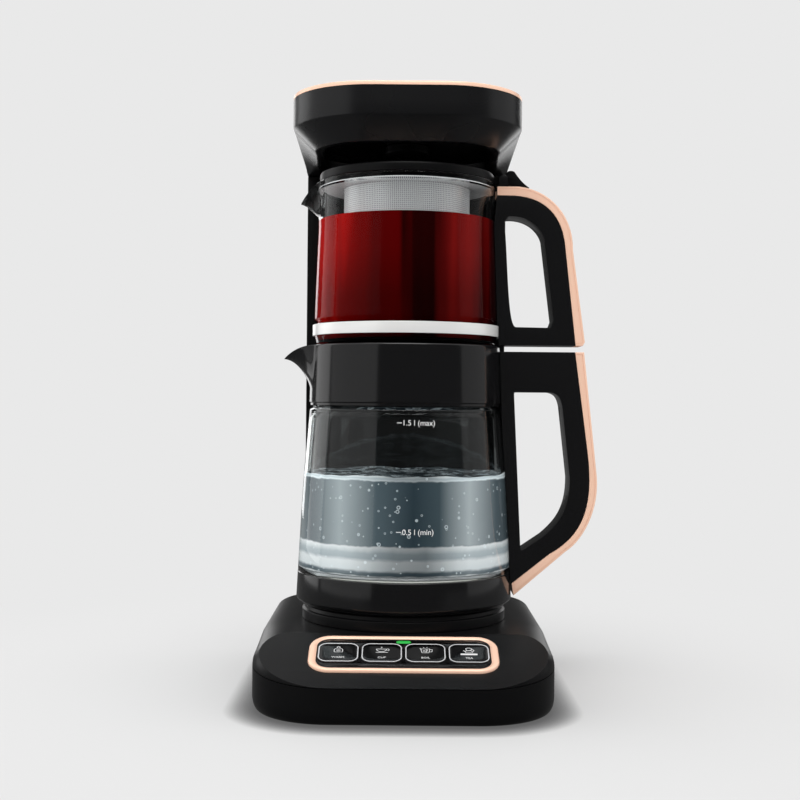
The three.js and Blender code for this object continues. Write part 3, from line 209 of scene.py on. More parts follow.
def arcPoints(x, y, radius, start, end, steps):
    turns = [math.radians(start + (end - start) * i / steps) for i in range(steps + 1)]
    return [(x + radius * math.cos(a), y + radius * math.sin(a)) for a in turns]


def roundedPlan(halfWidth, front, rear, frontCorner, rearCorner, stations=(), steps=16):
    right = [(halfWidth, y) for y in stations]
    left = [(-halfWidth, y) for y in reversed(stations)]
    low, high = frontCorner - front, rear - rearCorner
    return (arcPoints(frontCorner - halfWidth, low, frontCorner, 180, 270, steps)
            + arcPoints(halfWidth - frontCorner, low, frontCorner, 270, 360, steps) + right
            + arcPoints(halfWidth - rearCorner, high, rearCorner, 0, 90, steps)
            + arcPoints(rearCorner - halfWidth, high, rearCorner, 90, 180, steps) + left)


def roundedRect(width, length, corner, steps=10):
    return roundedPlan(width / 2, length / 2, length / 2, corner, corner, steps=steps)


def shifted(outline, x, y):
    return [(px + x, py + y) for px, py in outline]


def flat(outline, height):
    return [(x, y, height) for x, y in outline]


def prism(name, outline, low, high, place=jugFrame):
    return stacked(name, [flat(outline, low), flat(outline, high)], place)


def slab(name, outline, width, centre=0):
    # an outline in X and Z, extruded along Y
    return stacked(name, [[(x, centre + side * width / 2, z) for x, z in outline] for side in (-1, 1)])


def blockPiece(name, low, high):
    outline = [(low[0], low[1]), (high[0], low[1]), (high[0], high[1]), (low[0], high[1])]
    return prism(name, outline, low[2], high[2])


def rounded(points, radii, steps=5):
    # a closed outline with its corners rounded; one radius for all corners, or one for each
    result = []
    count = len(points)
    for i, (x, y) in enumerate(points):
        radius = radii[i] if isinstance(radii, (list, tuple)) else radii
        if not radius:
            result.append((x, y))
            continue
        here = Vector((x, y))
        before = Vector(points[i - 1]) - here
        after = Vector(points[(i + 1) % count]) - here
        half = before.angle(after) / 2
        # just under half a side, so that two corners never meet
        reach = min(radius / math.tan(half), before.length * 0.48, after.length * 0.48)
        start, end = here + before.normalized() * reach, here + after.normalized() * reach
        for n in range(steps + 1):
            t = n / steps
            spot = start * (1 - t) ** 2 + here * 2 * t * (1 - t) + end * t * t
            result.append((spot.x, spot.y))
    return result


def turned(name, points, radii, soft, steps, place=jugFrame):
    # a profile of (radius, height) with rounded corners, spun round the upright axis
    return turnedPiece(name, rounded(points, radii, soft), steps, place)


def bezier(p, q, r, s, steps=14):
    points = []
    for i in range(steps + 1):
        t = i / steps
        k = ((1 - t) ** 3, 3 * t * (1 - t) ** 2, 3 * t * t * (1 - t), t ** 3)
        points.append(tuple(sum(w * c[n] for w, c in zip(k, (p, q, r, s))) for n in (0, 1)))
    return points


def bent(shape, parts):
    # corners and four-point bends, given as shares of a handle's reach and height
    points = []
    for part in parts:
        spots = [(shape["inner"] + x * (shape["reach"] - shape["inner"]),
                  shape["bottom"] + z * (shape["top"] - shape["bottom"])) for x, z in part]
        points += bezier(*spots) if len(spots) == 4 else spots
    return points


# Materials

def linear(code):
    channels = [int(code[i:i + 2], 16) / 255 for i in (0, 2, 4)]
    return tuple(c / 12.92 if c <= 0.04045 else ((c + 0.055) / 1.055) ** 2.4
                 for c in channels) + (1,)


def addNode(tree, kind, inputs=None, **settings):
    # inputs and settings by name or place; what comes from another node is linked
    node = tree.nodes.new("ShaderNode" + kind)
    for key, value in {**settings, **(inputs or {})}.items():
        if isinstance(value, bpy.types.NodeSocket):
            tree.links.new(value, node.inputs[key])
        elif isinstance(key, int) or key in node.inputs:
            node.inputs[key].default_value = value
        else:
            setattr(node, key, value)
    return node


def noise(tree, place, scale, detail, **more):
    return addNode(tree, "TexNoise", Vector=place, Scale=scale, Detail=detail, **more).outputs["Fac"]


def stretched(tree, place, scale):
    return addNode(tree, "Mapping", Vector=place, Scale=scale).outputs[0]


def calc(tree, operation, *values):
    return addNode(tree, "Math", dict(enumerate(values)), operation=operation).outputs[0]


def spread(tree, value, low, high, start=0.0, end=1.0, kind="LINEAR"):
    # low at the start and high at the end of the value's range
    limits = {"From Min": start, "From Max": end, "To Min": low, "To Max": high}
    return addNode(tree, "MapRange", limits, interpolation_type=kind, Value=value).outputs[0]


def blend(tree, share, first, second, kind="MIX"):
    # each colour is a hex code or comes from another node
    first, second = (linear(c) if isinstance(c, str) else c for c in (first, second))
    colours = {0: share, 6: first, 7: second}
    return addNode(tree, "Mix", colours, data_type="RGBA", blend_type=kind).outputs[2]


def relief(tree, height, strength, distance):
    return addNode(tree, "Bump", Height=height, Strength=strength, Distance=distance).outputs[0]


def ramp(tree, source, stops):
    node = addNode(tree, "ValToRGB", Fac=source)
    for spot, _ in stops[1:-1]:
        node.color_ramp.elements.new(spot)
    for element, (spot, code) in zip(node.color_ramp.elements, stops):
        element.position = spot
        element.color = linear(code)
    return node.outputs[0]


def shareAcross(tree, place, axis, low, high):
    # one coordinate as a share between two millimetre values
    parts = addNode(tree, "SeparateXYZ", {0: place})
    return spread(tree, parts.outputs[axis], 0.0, 1.0, low / 1000, high / 1000)


def newLook(name):
    material = bpy.data.materials.new(name)
    material.use_nodes = True
    tree = material.node_tree
    tree.nodes.clear()
    return material, tree, addNode(tree, "TexCoord").outputs["Object"]


def surfaced(material, inputs):
    surface = addNode(material.node_tree, "BsdfPrincipled", inputs)
    addNode(material.node_tree, "OutputMaterial", Surface=surface.outputs[0])
    return material


def mouldedPlastic(name, shade, low, high, grainMm, bump, specular=0.5):
    # moulded in one colour, with the fine, even grain that the mould leaves in it
    look, tree, place = newLook(name)
    cloud = noise(tree, place, 18.0, 2.0)
    grain = noise(tree, place, 1000 / grainMm, 3.0)
    return surfaced(look, {"Base Color": linear(shade), "IOR": 1.53, "Specular IOR Level": specular,
                           "Roughness": spread(tree, cloud, low, high),
                           "Normal": relief(tree, grain, bump, 0.00006)})


def brushedMetal(name, shade, dark, low, high, stretch, bump, metallic):
    # fine parallel brush lines, drawn about 0.4 mm apart so that they still show
    look, tree, place = newLook(name)
    lines = noise(tree, stretched(tree, place, stretch), 1.0, 4.0, Roughness=0.6)
    return surfaced(look, {"Metallic": metallic, "Base Color": blend(tree, lines, dark, shade),
                           "Roughness": spread(tree, lines, low, high),
                           "Normal": relief(tree, lines, bump, 0.00004)})


# satin moulded ABS: soft wide sheen with a barely seen grain
satinAbs = mouldedPlastic("satin_moulded_abs", "0A0A0B", 0.28, 0.38, 0.5, 0.16, 0.2)
# the head shell's face is smoother than the base, so that its sides shine further round
headAbs = mouldedPlastic("smooth_satin_moulded_abs", "08080A", 0.24, 0.3, 0.5, 0.08, 0.65)
# the tower keeps the mould's dull face behind the glass
towerAbs = mouldedPlastic("dull_moulded_abs", "060607", 0.4, 0.5, 0.5, 0.12, 0.16)
# the same ABS polished in its mould: clear-cut soft reflections on kettle and handles
halfGlossAbs = mouldedPlastic("half_gloss_moulded_abs", "0E0E0F", 0.1, 0.15, 0.8, 0.05, 0.65)
# polished ABS of buttons and panel: mirror-like with a hint of waviness
pianoAbs = mouldedPlastic("polished_piano_black_abs", "070708", 0.04, 0.08, 6, 0.05)
# aluminium anodised pink gold under a milky seal: part mirror, part soft colour
roseAluminium = brushedMetal("rose_anodised_aluminium", "FFD6BE", "FECDB0", 0.22, 0.28,
                             (2400, 40, 60), 0.03, 0.2)
# stainless steel brushed round the jug: white sheen with faint level lines
brushedSteel = brushedMetal("brushed_stainless_steel", "FBFBF9", "EDEDEC", 0.2, 0.3,
                            (60, 60, 2600), 0.1, 0.35)
# pressed steel plate: a clean grey shine, hardly lined
pressedSteel = brushedMetal("pressed_stainless_steel", "DCDEDF", "C4C7C9", 0.14, 0.24,
                            (300, 300, 300), 0.05, 0.7)
# nitrile rubber: matt, slightly dusty
nitrileRubber = mouldedPlastic("moulded_nitrile_rubber", "121212", 0.75, 0.9, 0.8, 0.4)
# silicone rubber: milky, soft sheen
siliconeRubber = mouldedPlastic("extruded_silicone_rubber", "CFCFC8", 0.45, 0.6, 1.2, 0.1)
# nylon of the pump: off-white with a dry sheen
mouldedNylon = mouldedPlastic("moulded_nylon", "DAD7CC", 0.4, 0.5, 0.8, 0.2)
# printed white ink: flat and slightly raised
screenInk = mouldedPlastic("screen_printed_white_ink", "DEDEDE", 0.4, 0.5, 0.6, 0.05)
# silver foil rings around the buttons: pale, softly shining lines
silverFoil = brushedMetal("hot_stamped_silver_foil", "E4E4E6", "D0D0D2", 0.25, 0.35,
                          (200, 200, 200), 0.03, 0.3)


def solderMask():
    # glass-fibre board: green lacquer over faint straight tracks, 1.3 mm apart
    look, tree, place = newLook("lacquered_circuit_board")
    tracks = addNode(tree, "TexBrick", {
        "Vector": place, "Color1": linear("1F6B3C"), "Color2": linear("1A5C33"), "Mortar": linear("14492A"),
        "Scale": 90.0, "Mortar Size": 0.05, "Brick Width": 0.9, "Row Height": 0.12})
    return surfaced(look, {"Roughness": 0.35, "Base Color": tracks.outputs["Color"],
                           "Normal": relief(tree, tracks.outputs["Fac"], 0.2, 0.00005)})


def blownGlass(name, tint, waviness, ior):
    # borosilicate glass: clear, faintly wavy, with a slight grey-green edge
    look, tree, place = newLook(name)
    waves = noise(tree, place, 28.0, 1.0)
    return surfaced(look, {"Base Color": linear(tint), "Transmission Weight": 1.0, "IOR": ior,
                           "Roughness": 0.0, "Normal": relief(tree, waves, waviness, 0.0004)})


# stops are shares of the way between two places in millimetres
# painted light and shade: the tea's tones across it stand for how the light falls through it
tea = {
    "left": -83, "right": 43, "low": 240, "high": 318, "stretch": (75, 12, 2.5), "sway": 0.5,
    "paintedLightTones": [(0.0, "6A0A0A"), (0.08, "A81310"), (0.17, "6C0504"), (0.35, "480303"), (0.45, "4A0102"),
              (0.53, "1C0101"), (0.61, "180101"), (0.7, "4A0707"), (0.85, "701210"), (0.93, "3A0102"),
              (1.0, "240304")],
    # painted shade: the tea darker towards the bottom
    "depth": [(0.0, "B4B4B4"), (0.3, "BABABA"), (0.7, "F4F4F4"), (1.0, "FFFFFF")],
}


def brewedTea():
    # strong black tea: deep red, with painted light brighter on the left where light passes, painted shade in
    # soft upright bands, and painted shade darker towards the bottom
    look, tree, place = newLook("brewed_tea")
    across = shareAcross(tree, place, 0, tea["left"], tea["right"])
    bands = noise(tree, stretched(tree, place, tea["stretch"]), 1.0, 2.0)
    sway = calc(tree, "MULTIPLY_ADD", bands, tea["sway"], -tea["sway"] / 2)
    tone = ramp(tree, calc(tree, "ADD", across, sway), tea["paintedLightTones"])
    # painted shade, darker towards the bottom
    depth = ramp(tree, shareAcross(tree, place, 2, tea["low"], tea["high"]), tea["depth"])
    return surfaced(look, {"Roughness": 0.3, "IOR": 1.33, "Specular IOR Level": 0.0,
                           "Base Color": blend(tree, 1.0, tone, depth, "MULTIPLY")})


# painted light and shade: the water's tones across it are painted sheens, its layers a painted bright foot
# and top band, brighter at the sides
water = {
    "left": -88, "right": 51, "footLow": 78, "footHigh": 146, "sway": 0.035, "paintedGlow": 0.2,
    "bubbles": (5.5, 9.5), "bubbleTone": "DCE7EB", "level": (0.4, 0.8),
    "paintedLightTones": [(0.0, "98A0A3"), (0.06, "48545A"), (0.2, "9AA4A7"), (0.37, "47545A"), (0.54, "26333A"),
              (0.66, "39464C"), (0.8, "A0A9AC"), (0.93, "4E5A60"), (1.0, "404B50")],
    "paintedFootAndTopLight": [(0.0, "F8FBFC"), (0.05, "F2F6F7"), (0.065, "39444A"), (0.09, "56636A"), (0.115, "E6EDEF"),
               (0.19, "F2F7F8"), (0.225, "AFBABF"), (0.27, "B9C4C8"), (0.295, "DCE4E6"),
               (0.325, "F8FCFD"), (0.342, "5A6971"), (0.94, "71828A"), (0.955, "DCE6E9"),
               (0.975, "BAC7CC"), (1.0, "E6EEF0")],
    "paintedLightShare": [(0.0, "D8D8D8"), (0.335, "D8D8D8"), (0.345, "000000"), (0.94, "000000"),
                   (0.955, "FFFFFF"), (1.0, "FFFFFF")],
    "bubbleRing": [(0.0, "2C2C2C"), (0.06, "2C2C2C"), (0.09, "B4B4B4"), (0.12, "B4B4B4"),
                   (0.145, "000000"), (1.0, "000000")],
    "paintedFootSideSheen": [(0.0, "FFFFFF"), (0.25, "E8E8E8"), (0.45, "9C9C9C"), (0.6, "8C8C8C"),
                  (0.75, "DCDCDC"), (1.0, "FFFFFF")],
    "paintedTopReflection": [(0.0, "182024"), (0.5, "222C31"), (0.6, "AAB6BB"), (0.66, "2A353A"), (1.0, "F6FAFB")],
}


def heatedWater():
    # water with painted light: dark in the middle between painted pale upright sheens, bubbles, and a painted
    # bright foot and top band
    look, tree, place = newLook("heated_water")
    across = shareAcross(tree, place, 0, water["left"], water["right"])
    level = shareAcross(tree, place, 2, water["footLow"], water["footHigh"])
    ripple = noise(tree, place, 60.0, 3.0, Distortion=1.5)
    sway = calc(tree, "MULTIPLY_ADD", ripple, water["sway"], -water["sway"] / 2)
    height = calc(tree, "ADD", level, sway)
    # painted light: the bright foot and top band, brighter at the sides
    foot = blend(tree, 1.0, ramp(tree, height, water["paintedFootAndTopLight"]),
                 ramp(tree, across, water["paintedFootSideSheen"]), "MULTIPLY")
    cover = ramp(tree, height, water["paintedLightShare"])
    tone = blend(tree, cover, ramp(tree, across, water["paintedLightTones"]), foot)
    for size in water["bubbles"]:
        cells = addNode(tree, "TexVoronoi", Vector=place, Scale=1000 / size)
        shell = ramp(tree, cells.outputs["Distance"], water["bubbleRing"])
        tone = blend(tree, shell, tone, water["bubbleTone"])
    # painted reflection: the top face is painted dark, as it would mirror the tower, with a few painted
    # bright glints
    facing = addNode(tree, "NewGeometry").outputs["True Normal"]
    upward = addNode(tree, "SeparateXYZ", {0: facing}).outputs[2]
    onTop = spread(tree, upward, 0.0, 1.0, *water["level"])
    tone = blend(tree, onTop, tone, ramp(tree, ripple, water["paintedTopReflection"]))
    # painted glow: the foot and the top give off light, though no lamp is there
    paintedGlow = calc(tree, "MULTIPLY", calc(tree, "MAXIMUM", cover, onTop), water["paintedGlow"])
    return surfaced(look, {"Roughness": 0.02, "IOR": 1.33, "Base Color": tone, "Emission Color": tone,
                           "Emission Strength": paintedGlow})


def litLens():
    # tinted polycarbonate with a lamp behind it: even green glow over fine ribs
    look, tree, place = newLook("lit_green_polycarbonate")
    ribs = addNode(tree, "TexWave", Vector=place, Scale=420.0, bands_direction="X").outputs["Fac"]
    return surfaced(look, {"Base Color": linear("1E9A3A"), "Roughness": 0.2,
                           "Emission Color": linear("27C04C"), "Emission Strength": 0.2,
                           "Normal": relief(tree, ribs, 0.25, 0.0001)})


def perforatedSteel():
    # steel cup pierced with rows of fine holes, drawn 1.3 mm apart so that they show
    look, tree, _ = newLook("perforated_stainless_steel")
    sheet = addNode(tree, "UVMap", uv_map="sheet").outputs[0]
    cells = addNode(tree, "TexVoronoi", Vector=sheet, Scale=1.0, Randomness=0.0)
    metal = spread(tree, cells.outputs["Distance"], 0.0, 1.0, 0.27, 0.36)
    return surfaced(look, {"Metallic": 0.4, "Base Color": blend(tree, metal, "7A7B7C", "F6F8F9"),
                           "Roughness": spread(tree, metal, 0.6, 0.24),
                           "Normal": relief(tree, metal, 0.5, 0.0002)})


circuitBoard = solderMask()
kettleGlassLook = blownGlass("borosilicate_glass", "F4F8F8", 0.05, 1.47)
# the teapot's wall is thinner and hardly mirrors
teapotGlassLook = blownGlass("thin_borosilicate_glass", "F8FAFA", 0.04, 1.2)
waterLook = heatedWater()
teaLook = brewedTea()
lensLook = litLens()
piercedSteel = perforatedSteel()
print("materials made")


# Base

base = {
    "halfWidth": 95, "front": 130, "rear": 118, "frontCorner": 50, "rearCorner": 28, "cornerDraw": 14,
    "top": 46, "crown": 22, "crownSteps": 10, "seamFront": 23.3, "seamLevel": 36.5,
    "seamReach": 17, "slopeFoot": 23.9, "slopeReach": 70, "wall": 2.4, "slopeSoft": 2.5,
    "lift": 1, "tuck": 4.5, "tuckHeight": 9, "tuckSteps": 8, "seamGap": 0.5,
}
sideStations = (-74, -70, -62, -52, -42, -32, -24, -17, -8, 20)
slopeTilt = math.atan2(base["top"] - base["slopeFoot"], base["front"] - base["slopeReach"])


def basePlan(inset):
    return roundedPlan(base["halfWidth"] - inset, base["front"] - inset, base["rear"] - inset,
                       base["frontCorner"] - inset, base["rearCorner"] - min(inset, base["cornerDraw"]),
                       sideStations)


def seamAt(y):
    share = (y + base["front"]) / (base["front"] - base["seamReach"])
    return base["seamFront"] + (base["seamLevel"] - base["seamFront"]) * min(share, 1)


def coverBody(name, inset):
    # a quarter-round crown over the seam, sliced by the slope
    seams = [seamAt(y) + base["seamGap"] - 3 * inset for _, y in basePlan(0)]
    rings = []
    for i in range(base["crownSteps"] + 1):
        turn = math.pi / 2 * i / base["crownSteps"]
        plan = basePlan(inset + (base["crown"] - inset) * (1 - math.cos(turn)))
        rings.append([(x, y, seam + (base["top"] - inset - seam) * math.sin(turn))
                      for (x, y), seam in zip(plan, seams)])
    body = stacked(name, rings)
    foot = jugFrame @ Vector((0, -base["front"], base["slopeFoot"] - inset))
    normal = Vector((0, -math.sin(slopeTilt), math.cos(slopeTilt)))
    startEdit(body, "FACE", "SELECT")
    bpy.ops.mesh.bisect(plane_co=foot, plane_no=normal, use_fill=True, clear_outer=True)
    endAndTidy(body)
    return body, foot, normal


def makeCover():
    cover, foot, normal = coverBody("base_cover_moulding", 0)

    def slopeBorder(edge):
        onSlope = [abs((v.co - foot).dot(normal)) < nearness["slope"] for v in edge.verts]
        return all(onSlope) and 0.05 < edge.calc_face_angle(0) < 1.4

    startEdit(cover, "EDGE")
    pick(cover, "EDGE", slopeBorder)
    bpy.ops.mesh.bevel(offset=base["slopeSoft"] / 1000, segments=4, affect="EDGES", clamp_overlap=True)
    endAndTidy(cover)
    carve(cover, coverBody("tool", base["wall"])[0])
    return cover


def makeTray():
    rings = []
    for i in range(base["tuckSteps"] + 1):
        turn = math.pi / 2 * i / base["tuckSteps"]
        height = base["lift"] + base["tuckHeight"] * (1 - math.cos(turn))
        rings.append(flat(basePlan(base["tuck"] * (1 - math.sin(turn))), height))
    rings.append([(x, y, seamAt(y)) for x, y in basePlan(0)])
    tray = stacked("base_tray_moulding", rings)
    startEdit(tray, "FACE")
    pick(tray, "FACE", lambda f: f.normal.z > 0.5)
    bpy.ops.mesh.delete(type="FACE")
    endEdit()
    useModifier(tray, "SOLIDIFY", thickness=base["wall"] / 1000, offset=-1, use_even_offset=True)
    return tray


# Control panel, laid flat and then tilted onto the slope

panel = {
    "width": 118, "length": 41, "corner": 13.5, "bezel": 5.2, "rail": 4.9, "railFront": 3.6,
    "reach": 94.5, "pocket": 1.2, "bottom": -0.9, "plateTop": 1.1, "lipTop": 1.12, "frameTop": 1.9,
    "buttonWidth": 26.075, "buttonLength": 22.4, "buttonCorner": 6.2, "holeCorner": 6.5, "gap": 0.3,
    "pitch": 26.975, "buttonTop": 1.8, "buttonBottom": -2.3,
    "lampWidth": 9.2, "lampLength": 3.2, "lampShift": 13.6, "toolReach": 6,
}
panelHeight = base["slopeFoot"] + (base["front"] - panel["reach"]) * math.tan(slopeTilt)
panelFrame = (jugFrame @ Matrix.Translation((0, -panel["reach"], panelHeight))
              @ Matrix.Rotation(slopeTilt, 4, "X"))
buttonNames = ("bottle", "cup", "jug", "teapot")
buttonSpots = [(i - 1.5) * panel["pitch"] for i in range(4)]


def panelRect(inset, insetFront, corner):
    return roundedRect(panel["width"] - 2 * inset, panel["length"] - 2 * insetFront, corner)


def buttonRect(inset, corner, steps=10):
    return roundedRect(panel["buttonWidth"] - 2 * inset, panel["buttonLength"] - 2 * inset, corner, steps)


def lampPlan(extra):
    length = panel["lampLength"] + 2 * extra
    plan = roundedRect(panel["lampWidth"] + 2 * extra, length, length / 2 - 0.01, 6)
    return shifted(plan, 0, panel["lampShift"])


def panelTool(outline, low=-panel["toolReach"]):
    return prism("tool", outline, low, panel["toolReach"], panelFrame)


cover = makeCover()
pocket = panelRect(-panel["gap"], -panel["gap"], panel["corner"] + panel["gap"])
window = roundedRect(3 * panel["pitch"] + panel["buttonWidth"] + 2, panel["buttonLength"] + 2,
                     panel["holeCorner"])
carve(cover, panelTool(pocket, -panel["pocket"]), panelTool(window, -9))
finishPiece(cover, "machine", satinAbs, "satin_black", "base_cover", angle=24)
finishPiece(makeTray(), "machine", satinAbs, "satin_black", "base_tray", angle=24)
print("base made")


def makeBezel():
    # up the outside, over the rounded rail and down its inner slope; narrower along front and rear
    steps = [(0, panel["bottom"]), (0, 0.2), (0.05, 0.85), (0.15, 1.4), (0.31, 1.78),
             (0.49, panel["frameTop"]), (0.67, 1.78), (0.86, 1.45), (1, 1.1), (1, panel["bottom"])]
    rings = [flat(panelRect(share * panel["rail"], share * panel["railFront"],
                            panel["corner"] - share * panel["rail"]), z) for share, z in steps]
    return hollowRing(stacked("panel_bezel", rings, panelFrame))


def makeShadeLip():
    # a black inner lip between the frame's rail and the plate: painted shade, a dark piece standing in for
    # the shade on the frame's inner slope
    outline = panelRect(panel["rail"] + 0.01, panel["railFront"] + 0.01, panel["corner"] - panel["rail"])
    lip = prism("panel_frame_shade_lip", outline, panel["bottom"], panel["lipTop"], panelFrame)
    carve(lip, panelTool(panelRect(panel["bezel"], panel["bezel"], panel["corner"] - panel["bezel"])))
    softenEdges(lip, 0.15, 2)
    return lip


def makePlate():
    inset = panel["bezel"] + 0.25
    plate = prism("panel_plate_glossy", panelRect(inset, inset, panel["corner"] - inset),
                  panel["bottom"], panel["plateTop"], panelFrame)
    for x in buttonSpots:
        carve(plate, panelTool(shifted(buttonRect(-panel["gap"], panel["holeCorner"]), x, 0)))
    carve(plate, panelTool(lampPlan(panel["gap"])))
    softenEdges(plate, 0.18, 2)
    return plate


finishPiece(makeBezel(), "machine", roseAluminium, "rose_gold", "panel_frame", angle=50)
finishPiece(makeShadeLip(), "machine", pianoAbs, "gloss_black", angle=40)
finishPiece(makePlate(), "machine", pianoAbs, "gloss_black", "panel_plate")
lampSteps = [(0, -2), (0, 1.0), (-0.3, 1.25), (-0.8, 1.38)]
lens = stacked("status_lamp_lens", [flat(lampPlan(extra), z) for extra, z in lampSteps], panelFrame)
finishPiece(lens, "machine", lensLook, "lamp_green", "status_lamp", angle=60)


def inkLines(name, strokes, width, place, height, thick):
    # drawn strokes: round wire pressed flat, then laid in place
    curve = bpy.data.curves.new(name, "CURVE")
    curve.dimensions = "3D"
    curve.bevel_depth = width / 2
    curve.bevel_resolution = 1
    curve.use_fill_caps = True
    for points, closed in strokes:
        line = curve.splines.new("POLY")
        line.points.add(len(points) - 1)
        for spot, (x, y) in zip(line.points, points):
            spot.co = (x, y, 0, 1)
        line.use_cyclic_u = closed
    drawing = bpy.data.objects.new(name, curve)
    scene.collection.objects.link(drawing)
    focus(drawing)
    bpy.ops.object.convert(target="MESH")
    obj = bpy.context.object
    pressed = place @ Matrix.Translation((0, 0, height)) @ Matrix.Diagonal((1, 1, 2 * thick / width, 1))
    obj.data.transform(pressed)
    return obj


# strokes over each caption, each with whether it closes
pictograms = {
    "bottle": [([(-2.6, 0.2), (-2.6, 3.4), (-1.4, 4.8), (1.4, 4.8), (2.6, 3.4), (2.6, 0.2)], True),
               (arcPoints(0, 5.9, 0.9, -40, 220, 12), False),
               ([(-1.3, 1.6), (1.3, 1.6)], False), ([(-1.3, 2.8), (1.3, 2.8)], False)],
    "cup": [([(-3.4, 4.2), (3.0, 4.2)], False), (arcPoints(-0.2, 4.2, 3.2, 180, 360, 16), False),
            (arcPoints(3.4, 3.4, 1.1, -90, 90, 10), False), ([(-3.8, 0.1), (3.6, 0.1)], False),
            ([(-0.6, 5.3), (0.1, 6.0), (-0.3, 6.8)], False)],
    "jug": [([(-2.8, 4.8), (-2.2, 0.1), (2.2, 0.1), (2.8, 4.8)], False),
            ([(-3.4, 5.6), (-2.8, 4.8), (2.8, 4.8)], False),
            ([(2.7, 4.2), (4.3, 4.0), (4.1, 1.4), (2.4, 1.1)], False),
            (arcPoints(-0.9, 2.2, 0.5, 0, 360, 8), True), (arcPoints(0.9, 3.2, 0.5, 0, 360, 8), True),
            (arcPoints(0.6, 1.3, 0.4, 0, 360, 8), True),
            ([(-1.2, 6.2), (-0.8, 6.9)], False), ([(0.8, 6.2), (1.2, 6.9)], False)],
    "teapot": [([(-1.7, 3.0), (-2.2, 0.9), (2.2, 0.9), (1.7, 3.0)], True),
               ([(-1.8, 5.6), (-1.3, 3.2), (1.3, 3.2), (1.8, 5.6)], False),
               ([(-1.9, 5.6), (-0.4, 6.4), (0.4, 6.4), (1.9, 5.6)], False),
               ([(2.2, 1.4), (3.3, 3.2), (2.0, 5.0)], False), ([(-2.2, 1.6), (-3.4, 3.4)], False)],
}
captions = {"bottle": "WARM", "cup": "CUP", "jug": "BOIL", "teapot": "TEA"}
printed = {"signShare": 0.95, "signWidth": 0.42, "signThick": 0.07, "signSunk": 0.05,
           "wordSize": 2.6, "wordPlace": -6.6, "wordSunk": 0.08, "wordThick": 0.04,
           "ringInset": 0.95, "ringCorner": 5.2, "ringWidth": 0.75, "ringThick": 0.1, "ringSunk": 0.02,
           "bar": (10.5, 1.7, 0.5, 3), "barPlace": -1.4, "barLow": 1.7, "barHigh": 1.82}


def lettering(name, text, size, x, y, place, height):
    bpy.ops.object.text_add()
    words = bpy.context.object
    words.name = name
    words.data.body = text
    words.data.size = size
    words.data.align_x = "CENTER"
    words.data.extrude = printed["wordThick"]
    bpy.ops.object.convert(target="MESH")
    obj = bpy.context.object
    obj.data.transform(place @ Matrix.Translation((x, y, height)))
    return obj


def makeCap():
    steps = [(0, panel["buttonBottom"]), (0, 1.3), (0.18, 1.6), (0.55, panel["buttonTop"]), (4.5, 1.72)]
    rings = [flat(buttonRect(inset, panel["buttonCorner"] - inset), z) for inset, z in steps]
    return stacked("button_cap", rings, panelFrame)


def makePrint(name, place):
    drawn = [([(x, y * printed["signShare"]) for x, y in stroke], closed)
             for stroke, closed in pictograms[name]]
    top = panel["buttonTop"]
    parts = [inkLines("sign_" + name, drawn, printed["signWidth"], place, top - printed["signSunk"],
                      printed["signThick"]),
             lettering("word_" + name, captions[name], printed["wordSize"], 0, printed["wordPlace"],
                       place, top - printed["wordSunk"])]
    if name == "teapot":
        # the white bar under the sign
        bar = shifted(roundedRect(*printed["bar"]), 0, printed["barPlace"])
        parts.append(prism("bar", bar, printed["barLow"], printed["barHigh"], place))
    return merge("print_" + name, *parts)


# cap and silver ring are made once, in the middle, and copied to the four places
cap = makeCap()
border = buttonRect(printed["ringInset"], printed["ringCorner"], 8)
foil = inkLines("button_ring", [(border, True)], printed["ringWidth"], panelFrame,
                panel["buttonTop"] - printed["ringSunk"], printed["ringThick"])
for name, x in zip(buttonNames, buttonSpots):
    body = name + "_button"
    finishPiece(copied(cap, "cap_" + name, x), body, pianoAbs, "gloss_black", "button_" + name, angle=40)
    finishPiece(copied(foil, "ring_" + name, x), body, silverFoil, "steel", angle=60)
    place = panelFrame @ Matrix.Translation((x, 0, 0))
    finishPiece(makePrint(name, place), body, screenInk, "print_white", angle=60)
for pattern in (cap, foil):
    bpy.data.objects.remove(pattern, do_unlink=True)
print("panel made")


# Plinth, connector, feet, screws and gland

plinth = {"radius": 69.7, "inner": 14.3, "low": 46.3, "top": 56.7}


def makePlinth():
    radius, inner, low, top = (plinth[key] for key in ("radius", "inner", "low", "top"))
    points = [(inner, low), (radius, low), (radius, top - 4.2), (radius - 1.4, top - 3.4),
              (radius - 1.8, top - 1.2), (radius - 4, top), (40, top), (39, top - 1), (37, top - 1),
              (36, top), (inner + 4, top), (inner, top - 1.5)]
    radii = [0.2, 0.2, 0.6, 0.4, 0.8, 1.0, 0.4, 0.3, 0.3, 0.4, 1.5, 0.5]
    return turned("kettle_plinth", points, radii, 4, 128)


finishPiece(makePlinth(), "machine", satinAbs, "gloss_black", "kettle_rest")

connector = turned(
    "connector_core",
    [(0, 46.3), (14, 46.3), (14, 64), (11, 64), (11, 60), (9.2, 60), (9.2, 62.6), (7.6, 62.6),
     (7.6, 60), (6, 60), (6, 64), (2.2, 64), (2.2, 58.5), (0, 58.5)],
    [0, 0.2, 0.8, 0.5, 0.2, 0.2, 0.3, 0.3, 0.2, 0.2, 0.6, 0.3, 0.2, 0], 3, 64)
finishPiece(connector, "machine", satinAbs, "satin_black", "power_connector")

